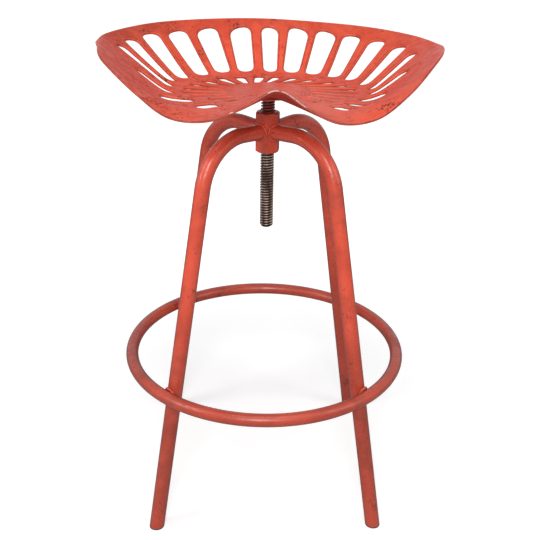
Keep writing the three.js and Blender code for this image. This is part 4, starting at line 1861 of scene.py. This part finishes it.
    def build(self, paint: Material) -> Object:
        """Build the pan: both faces, the rounded rim and every slot's lip and flange.

        Args:
            paint: the seat's paint.

        Returns:
            The pan's object.
        """
        slots = self.outlines()
        rim = self.rim_outline()
        surface = SurfaceBuilder()
        rim_facing, rim_outward = self.loop_frame(rim)
        half = self.thickness / 2
        rim_base = rim - rim_outward[:, :2] * half
        rim_top = surface.add(self.on_dish(rim_base), 0.15, self.patina(rim_base))
        loops = [rim_base]
        frames = []
        for number, (outline, lip) in enumerate(slots):
            others = [other for k, (other, _) in enumerate(slots) if k != number] + [rim]
            gap = nearest(outline, np.vstack(others))
            radius = softened(np.minimum(lip.round_over, self.rib_share * gap), 3)
            facing, outward = self.loop_frame(outline)
            base = outline + outward[:, :2] * radius[:, None]
            loops.append(base)
            frames.append((self.on_dish(base), facing, outward, radius, lip))
        loop_ids = [rim_top]
        for top, *_ in frames:
            loop_ids.append(surface.add(top, 0.0, self.patina(top[:, :2])))
        inside = self.inner_points(loops)
        inside_ids = surface.add(self.on_dish(inside), 0.0, self.patina(inside))
        flat = np.vstack(loops + [inside])
        flat_ids = np.concatenate(loop_ids + [inside_ids])
        triangles = triangulated(flat, loops)
        surface.faces.append(flat_ids[triangles])
        under = self.on_dish(flat) - self.normals(flat) * self.thickness
        # Painted shade: the underside is darkened at half strength.
        under_ids = surface.add(under, 0.0, 0.5)
        surface.faces.append(under_ids[triangles][:, ::-1])
        starts = np.cumsum([0] + [len(loop) for loop in loops])
        self.add_rim(surface, rim_top, under_ids[starts[0] : starts[1]], rim_facing, rim_outward, half)
        for k, (top, facing, outward, radius, lip) in enumerate(frames):
            under_loop = under_ids[starts[k + 1] : starts[k + 2]]
            self.add_slot(surface, loop_ids[k + 1], under_loop, top, facing, outward, radius, lip)
        points, faces, edge, grime_and_shade = surface.result()
        piece = make_piece("pan", turned(points, self.bearing), faces, edge, grime_and_shade)
        return fitted(piece, Body.SEAT, Slot.SEAT_PAINT, "seat_pan", material=paint)

    def patina(self, plan: np.ndarray) -> np.ndarray:
        """Say how dirty the upper face is: most along the rim at the back, and more on its left.

        Args:
            plan: rows of x and y.

        Returns:
            How dirty each place is, from 0 to 1.
        """
        bearing = np.degrees(np.arctan2(plan[:, 1], plan[:, 0])) % 360
        share = np.hypot(plan[:, 0], plan[:, 1]) / (self.rim_row(bearing)[:, 0] * self.half_width)
        rise = np.clip((share - self.patina_from) / (1 - self.patina_from), 0, 1)
        dirt = sum(patch.share * hill(bearing, patch.bearing, patch.spread) for patch in self.patches)
        return rise**self.patina_power * dirt

    def on_dish(self, plan: np.ndarray) -> np.ndarray:
        """Lift plan points onto the dish."""
        return np.column_stack([plan, self.heights(plan)])

    def inner_points(self, loops: Sequence[np.ndarray]) -> np.ndarray:
        """Spread points over the sheet between its loops.

        Args:
            loops: the rim, then every slot.

        Returns:
            Rows of x and y.
        """
        low, high = loops[0].min(0), loops[0].max(0)
        step = self.grid_step
        rows = []
        for k, y in enumerate(np.arange(low[1], high[1], step * math.sqrt(3) / 2)):
            x = np.arange(low[0] + (k % 2) * step / 2, high[0], step)
            rows.append(np.stack([x, np.full(len(x), y)], 1))
        points = np.vstack(rows)
        points = points[on_sheet(points, loops)]
        return points[nearest(points, np.vstack(loops)) > step * 0.5]

    def add_rim(
        self,
        surface: "SurfaceBuilder",
        top: np.ndarray,
        under: np.ndarray,
        facing: np.ndarray,
        outward: np.ndarray,
        half: float,
    ) -> None:
        """Round the sheet's outer edge.

        Args:
            surface: the mesh being built.
            top: the rim loop on the upper face.
            under: the rim loop on the underside.
            facing: the dish's facing along the rim.
            outward: the way out along the rim.
            half: half the sheet's thickness.
        """
        base = surface.points_of(top)
        before = top
        for step in range(1, self.rim_steps):
            angle = math.pi * step / self.rim_steps
            place = base - facing * half + half * (math.cos(angle) * facing + math.sin(angle) * outward)
            corner = hill(math.degrees(angle), self.rim_wear_angle, self.rim_wear_spread)
            # Partly dirt, partly painted shade: the edge darkens as it turns under.
            grime_and_shade = self.rim_grime * math.sin(angle / 2) ** 2
            loop = surface.add(place, max(corner, self.rim_wear_least), grime_and_shade)
            surface.faces.append(ring_between(before, loop)[:, ::-1])
            before = loop
        surface.faces.append(ring_between(before, under)[:, ::-1])

    def add_slot(
        self,
        surface: "SurfaceBuilder",
        top: np.ndarray,
        under: np.ndarray,
        base: np.ndarray,
        facing: np.ndarray,
        outward: np.ndarray,
        radius: np.ndarray,
        lip: SlotLip,
    ) -> None:
        """Turn the sheet down round a slot.

        Args:
            surface: the mesh being built.
            top: the slot's loop on the upper face.
            under: its loop on the underside.
            base: the points of the upper loop.
            facing: the dish's facing along the slot.
            outward: the way out of the slot.
            radius: how wide the rounded lip is along the slot.
            lip: the slot's kind of lip.
        """
        wall = np.minimum(lip.wall, 0.8 * radius)
        drop = np.maximum(lip.flange, radius + 1.0)
        rows: list[tuple[Any, Any, float, float]] = []
        for step in range(1, self.lip_steps + 1):
            angle = math.pi / 2 * step / self.lip_steps
            # Partly dirt, partly painted shade: a dark line where the lip starts to turn down, and darker
            # the further the lip turns down.
            crease = hill(math.degrees(angle), self.crease_angle, self.crease_spread)
            settled_and_shaded = 0.5 * crease + 0.4 * (step / self.lip_steps) ** 4
            away, height = radius * (1 - math.sin(angle)), -radius * (1 - math.cos(angle))
            rows.append((away, height, crease, settled_and_shaded))
        # In the rows below, the fourth values paint shade, with some dirt, on the flange walls and their
        # lower edge.
        rows.extend(
            [
                (0.0, -drop + 1.2, 0.1, 0.6),
                (0.0, -drop + 0.5, 0.7, 0.8),
                (0.3, -drop + 0.1, 0.9, 0.9),
                (0.8, -drop, 0.5, 0.9),
                (wall - 0.4, -drop, 0.4, 0.6),
                (wall, -drop + 0.4, 0.3, 0.4),
                (wall, -self.thickness - 0.8, 0.0, 0.4),
                (np.minimum(wall + 0.6, radius * 0.97), -self.thickness - 0.1, 0.0, 0.2),
            ]
        )
        before = top
        for away, height, edge, grime_and_shade in rows:
            shift = (away - radius)[:, None] * outward
            place = base + shift + np.broadcast_to(height, radius.shape)[:, None] * facing
            loop = surface.add(place, edge, grime_and_shade)
            surface.faces.append(ring_between(before, loop))
            before = loop
        surface.faces.append(ring_between(before, under))


class SurfaceBuilder:
    """Points, faces and edge values that are gathered for one mesh."""

    def __init__(self) -> None:
        """Start empty."""
        self.points: list[np.ndarray] = []
        self.edges: list[np.ndarray] = []
        self.grimes: list[np.ndarray] = []
        self.faces: list[np.ndarray] = []
        self.count = 0

    def add(self, points: np.ndarray, edge: float, grime_and_shade: np.ndarray | float = 0.0) -> np.ndarray:
        """Add points that share an edge value and a value of dirt and painted shade.

        Args:
            points: rows of x, y and z.
            edge: their edge value.
            grime_and_shade: their value of dirt and painted shade.

        Returns:
            The numbers of the new points.
        """
        self.points.append(points)
        self.edges.append(np.full(len(points), edge))
        self.grimes.append(np.broadcast_to(grime_and_shade, len(points)))
        start = self.count
        self.count += len(points)
        return np.arange(start, self.count)

    def points_of(self, ids: np.ndarray) -> np.ndarray:
        """Look up points by number."""
        return np.vstack(self.points)[ids]

    def result(self) -> tuple[np.ndarray, list[list[int]], np.ndarray, np.ndarray]:
        """Give the points, the faces, the edge values and the values of dirt and painted shade."""
        faces = np.vstack(self.faces).tolist()
        return np.vstack(self.points), faces, np.concatenate(self.edges), np.concatenate(self.grimes)


def counter_clockwise(outline: np.ndarray) -> np.ndarray:
    """Turn an outline round where it runs clockwise."""
    x, y = outline.T
    area = (x * np.roll(y, -1) - y * np.roll(x, -1)).sum()
    return outline if area > 0 else outline[::-1]


def resampled(outline: np.ndarray, spacing: float) -> np.ndarray:
    """Space the points of a closed outline evenly.

    Args:
        outline: rows of x and y.
        spacing: about how far apart the new points are.

    Returns:
        The new outline.
    """
    loop = np.vstack([outline, outline[:1]])
    run = np.concatenate([[0], np.cumsum(np.linalg.norm(np.diff(loop, axis=0), axis=1))])
    count = max(24, int(round(run[-1] / spacing)))
    where = np.linspace(0, run[-1], count, endpoint=False)
    return np.stack([np.interp(where, run, loop[:, 0]), np.interp(where, run, loop[:, 1])], 1)


def nearest(points: np.ndarray, others: np.ndarray) -> np.ndarray:
    """Measure the distance from each point to the nearest of the others.

    Args:
        points: rows of x and y.
        others: rows of x and y.

    Returns:
        The distances.
    """
    tree = KDTree(len(others))
    for i, (x, y) in enumerate(others):
        tree.insert((x, y, 0.0), i)
    tree.balance()
    return np.array([tree.find((x, y, 0.0))[2] for x, y in points])


def softened(values: np.ndarray, rounds: int) -> np.ndarray:
    """Smooth values round a closed loop without raising any above its own limit.

    Args:
        values: one value for each point.
        rounds: how many times they are smoothed.

    Returns:
        The smoothed values.
    """
    limit = values.copy()
    for _ in range(rounds):
        mean = (np.roll(values, 1) + values + np.roll(values, -1)) / 3
        values = np.minimum(mean, limit)
    return values


def within(points: np.ndarray, outline: np.ndarray) -> np.ndarray:
    """Tell which points lie inside an outline.

    Args:
        points: rows of x and y.
        outline: the outline's points.

    Returns:
        True for each point inside.
    """
    low, high = outline.min(0), outline.max(0)
    near = np.all((points >= low) & (points <= high), axis=1)
    x, y = points[near].T
    inside = np.zeros(len(x), dtype=bool)
    for (x0, y0), (x1, y1) in zip(outline, np.roll(outline, -1, 0)):
        crosses = (y0 > y) != (y1 > y)
        rise = y1 - y0 if y1 != y0 else 1e-12
        inside ^= crosses & (x < (x1 - x0) * (y - y0) / rise + x0)
    result = np.zeros(len(points), dtype=bool)
    result[near] = inside
    return result


def on_sheet(points: np.ndarray, loops: Sequence[np.ndarray]) -> np.ndarray:
    """Tell which points lie inside the rim, the first loop, and outside every slot."""
    keep = within(points, loops[0])
    for loop in loops[1:]:
        keep &= ~within(points, loop)
    return keep


def triangulated(points: np.ndarray, loops: Sequence[np.ndarray]) -> np.ndarray:
    """Cover the sheet between its loops with triangles.

    Args:
        points: all points in plan, the loops' points first.
        loops: the rim, then every slot.

    Returns:
        Rows of three point numbers, facing up.
    """
    edges: list[tuple[int, int]] = []
    start = 0
    for loop in loops:
        count = len(loop)
        edges.extend((start + i, start + (i + 1) % count) for i in range(count))
        start += count
    places = [Vector((float(x), float(y))) for x, y in points]
    _, _, out_faces, origins, _, _ = delaunay_2d_cdt(places, edges, [], 0, 1e-5)
    back = np.array([origin[0] if origin else -1 for origin in origins])
    if (back < 0).any():
        log.warning("%d loops of the pan cross", int((back < 0).sum()))
    corners = back[np.array([list(face) for face in out_faces])]
    corners = corners[(corners >= 0).all(1)]
    corners = corners[on_sheet(points[corners].mean(1), loops)]
    a, b, c = points[corners].transpose(1, 0, 2)
    area = (b[:, 0] - a[:, 0]) * (c[:, 1] - a[:, 1]) - (b[:, 1] - a[:, 1]) * (c[:, 0] - a[:, 0])
    corners[area < 0] = corners[area < 0][:, ::-1]
    return corners


# Studio


@dataclass
class Lamp:
    """One soft rectangular light that looks at the stool."""

    name: str
    place: tuple[float, float, float]
    target: tuple[float, float, float]
    width: float
    height: float
    power: float

    def build(self) -> None:
        """Hang the lamp."""
        data = bpy.data.lights.new(self.name, "AREA")
        data.shape = "RECTANGLE"
        data.size, data.size_y, data.energy = self.width, self.height, self.power
        lamp = placed(self.name, data)
        lamp.location = self.place
        aim = Vector(self.target) - Vector(self.place)
        lamp.rotation_euler = aim.to_track_quat("-Z", "Y").to_euler()


@dataclass
class Studio:
    """A pale floor under soft light, and the photograph's camera."""

    lens: float = 56.88
    camera_place: tuple[float, float, float] = (0.0, -1.18446, 0.89354)
    pitch: float = 24.58
    yaw: float = 0.33
    roll: float = 1.0
    seat_turn: float = 1.8
    sensor: float = 36.0
    floor_span: float = 12.0
    floor_cells: int = 12
    floor_colour: Colour = (0.62, 0.62, 0.62)
    floor_lift: float = 0.58
    shade_reach: float = 0.45
    white_reach: float = 1.1
    room_light: float = 0.1
    lamps: tuple[Lamp, ...] = (
        Lamp("key", (-0.2, -2.6, 2.0), (0.0, 0.0, 0.4), 1.0, 1.3, 54.0),
        Lamp("side_left", (-2.0, -0.9, 1.8), (0.0, 0.0, 0.5), 0.9, 1.6, 26.0),
        Lamp("side_right", (2.0, -1.0, 1.8), (0.0, 0.0, 0.5), 0.9, 1.6, 16.0),
        Lamp("top", (0.1, -0.5, 2.7), (0.0, 0.0, 0.6), 1.4, 1.4, 16.0),
    )

    def build_camera(self) -> None:
        """Stand the camera where the photograph was taken from."""
        pitch, yaw, roll = (math.radians(value) for value in (self.pitch, self.yaw, self.roll))
        level = math.cos(pitch)
        forward = Vector((math.sin(yaw) * level, math.cos(yaw) * level, -math.sin(pitch)))
        right = Vector((math.cos(yaw), -math.sin(yaw), 0))
        up = right.cross(forward)
        across = right * math.cos(roll) + up * math.sin(roll)
        over = up * math.cos(roll) - right * math.sin(roll)
        basis = Matrix((across, over, -forward)).transposed().to_4x4()
        turn = Matrix.Rotation(math.radians(-self.seat_turn), 4, "Z")
        data = bpy.data.cameras.new("camera")
        data.sensor_width, data.lens = self.sensor, self.lens
        data.clip_start, data.clip_end = 0.05, 50.0
        camera = placed("camera", data)
        camera.matrix_world = turn @ Matrix.Translation(self.camera_place) @ basis
        bpy.context.scene.camera = camera

    def build_floor(self) -> None:
        """Lay the floor: it looks white where it is unshaded and keeps the stool's shadow."""
        span = self.floor_span / MM
        grid = np.linspace(-span / 2, span / 2, self.floor_cells + 1)
        x, y = np.meshgrid(grid, grid, indexing="ij")
        points = np.stack([x.ravel(), y.ravel(), np.zeros(x.size)], 1)
        number = np.arange(x.size).reshape(x.shape)
        cells = [number[:-1, :-1], number[1:, :-1], number[1:, 1:], number[:-1, 1:]]
        faces = np.stack(cells, -1).reshape(-1, 4)
        floor = make_piece("floor", points, faces.tolist())
        material, sheet, shader = new_material("floor_paper")
        sheet.feed(shader, {
            "Base Color": opaque(self.floor_colour),
            "Roughness": 0.9,
            "Specular IOR Level": 0.1,
            "Emission Color": (1.0, 1.0, 1.0, 1.0),
        })
        place = sheet.add("ShaderNodeTexCoord")
        away = sheet.add("ShaderNodeVectorMath", {0: place.outputs["Object"]}, operation="LENGTH")
        rays = sheet.add("ShaderNodeLightPath")
        span_out = away.outputs["Value"]
        lift = sheet.ramp(span_out, self.shade_reach, self.white_reach, self.floor_lift, 1.0)
        glow = sheet.times(rays.outputs["Is Camera Ray"], lift)
        sheet.feed(shader, {"Emission Strength": glow})
        floor.data.materials.append(material)

    def build_world(self) -> None:
        """Light the room evenly, and show white to the camera and in reflections."""
        world = bpy.data.worlds.new("room")
        bpy.context.scene.world = world
        world.use_nodes = True
        sheet = Sheet(world.node_tree)
        world.node_tree.nodes.clear()
        rays = sheet.add("ShaderNodeLightPath").outputs
        mirrored = sheet.math("MAXIMUM", rays["Is Glossy Ray"], rays["Is Transmission Ray"])
        seen = sheet.math("MAXIMUM", rays["Is Camera Ray"], mirrored)
        paper = (1.0, 1.0, 1.0, 1.0)
        soft = sheet.add("ShaderNodeBackground", {"Color": paper, "Strength": self.room_light})
        white = sheet.add("ShaderNodeBackground", {"Color": paper, "Strength": 1.0})
        choice = sheet.add("ShaderNodeMixShader", {0: seen, 1: soft.outputs[0], 2: white.outputs[0]})
        sheet.add("ShaderNodeOutputWorld", {0: choice.outputs[0]})

    def build(self) -> None:
        """Set up the studio."""
        bpy.context.scene.view_settings.view_transform = "Standard"
        self.build_world()
        self.build_floor()
        for lamp in self.lamps:
            lamp.build()
        self.build_camera()


# The stool


@dataclass(frozen=True)
class Finishes:
    """The stool's materials."""

    seat: Material
    frame: Material
    screw: Material
    plug: Material

    @staticmethod
    def build(effects: Effects) -> "Finishes":
        """Mix every finish.

        Args:
            effects: the shared groups.

        Returns:
            The finished materials.
        """
        seat = WornPaint(
            "seat_paint",
            Slot.SEAT_PAINT,
            light=(0.73, 0.094, 0.045),
            deep=(0.6, 0.064, 0.03),
            speck_fade=0.12,
            dust_share=0.32,
            # Chips along the pommel, worked out by a program from points read in the photograph
            chips=(
                Chip((-2.4, -169.3, 662.8), 4.0),
                Chip((5.2, -167.4, 663.9), 4.0),
                Chip((15.1, -164.4, 660.9), 5.0),
                Chip((24.0, -161.1, 654.9), 5.0),
                Chip((31.0, -158.6, 649.1), 5.0),
                Chip((38.1, -156.5, 643.5), 6.0),
                Chip((-49.4, -172.6, 637.9), 3.0),
            ),
        )
        tube = WornPaint(
            "frame_paint",
            Slot.FRAME_PAINT,
            light=(0.72, 0.088, 0.044),
            deep=(0.56, 0.062, 0.03),
            speck_start=0.5,
            speck_share=0.55,
            edge_reach=0.6,
            stain_share=0.3,
            low_share=0.32,
            graze=(0.13, 0.02, 0.012),
            graze_from=0.3,
            graze_share=0.85,
            grain=0.2,
            reflection=0.45,
            gloss=0.26,
            dull=0.38,
        )
        screw = ThreadSteel(
            "thread_steel",
            Slot.BARE_STEEL,
            steel=(0.64, 0.48, 0.4),
            dirt=(0.03, 0.015, 0.011),
            paint=(0.62, 0.062, 0.036),
            paint_from=599.0,
            crest=10.0,
            root=9.0,
        )
        plug = MouldedPlastic(
            "plug_black",
            Slot.BLACK_PLASTIC,
            colour=(0.012, 0.012, 0.013),
            scuffed=(0.05, 0.05, 0.052),
        )
        return Finishes(*(finish.build(effects) for finish in (seat, tube, screw, plug)))


@dataclass
class Stool:
    """The whole stool."""

    pan: SeatPan = field(default_factory=SeatPan)
    plate: SeatPlate = field(default_factory=SeatPlate)
    screw: Screw = field(default_factory=Screw)
    hub: Hub = field(default_factory=Hub)
    ring: FootrestRing = field(default_factory=FootrestRing)
    welds: Welds = field(default_factory=Welds)

    def build(self, trees: Trees, finishes: Finishes) -> list[Object]:
        """Build every piece.

        Args:
            trees: the geometry node trees.
            finishes: the materials.

        Returns:
            The pieces.
        """
        legs = [Leg(corner, bearing) for corner, bearing in CORNERS.items()]
        pieces = [self.hub.build(finishes.frame), self.ring.build(legs[0], trees.tube, finishes.frame)]
        for leg in legs:
            pieces.append(leg.build_tube(self.hub, trees.tube, finishes.frame))
            pieces.append(leg.build_plug(finishes.plug))
            pieces.append(self.welds.build_ring_bead(leg, self.ring, trees.bead, finishes.frame))
        pieces.append(self.welds.build_hub_beads(legs, self.hub, trees.bead, finishes.frame))
        pieces.append(self.screw.build(trees.thread, finishes.screw))
        pieces.append(self.screw.build_collar(self.plate.low, trees.bead, finishes.seat))
        pieces.append(self.plate.build(finishes.seat))
        for side, bearing in SIDES.items():
            pieces.append(self.plate.build_weld(side, bearing, trees.bead, finishes.seat))
        pieces.append(self.pan.build(finishes.seat))
        return pieces


def main() -> None:
    """Build the stool and its studio, and log each piece's faces and volume."""
    logging.basicConfig(level=logging.INFO, format="%(name)s: %(message)s")
    Studio().build()
    finishes = Finishes.build(Effects.build())
    for piece in Stool().build(Trees.build(), finishes):
        faces, volume = len(piece.data.polygons), volume_of(piece.data) * 1e6
        log.info("%s: %d faces, volume %.2f cm3", piece.name, faces, volume)


if __name__ == "__main__":
    main()
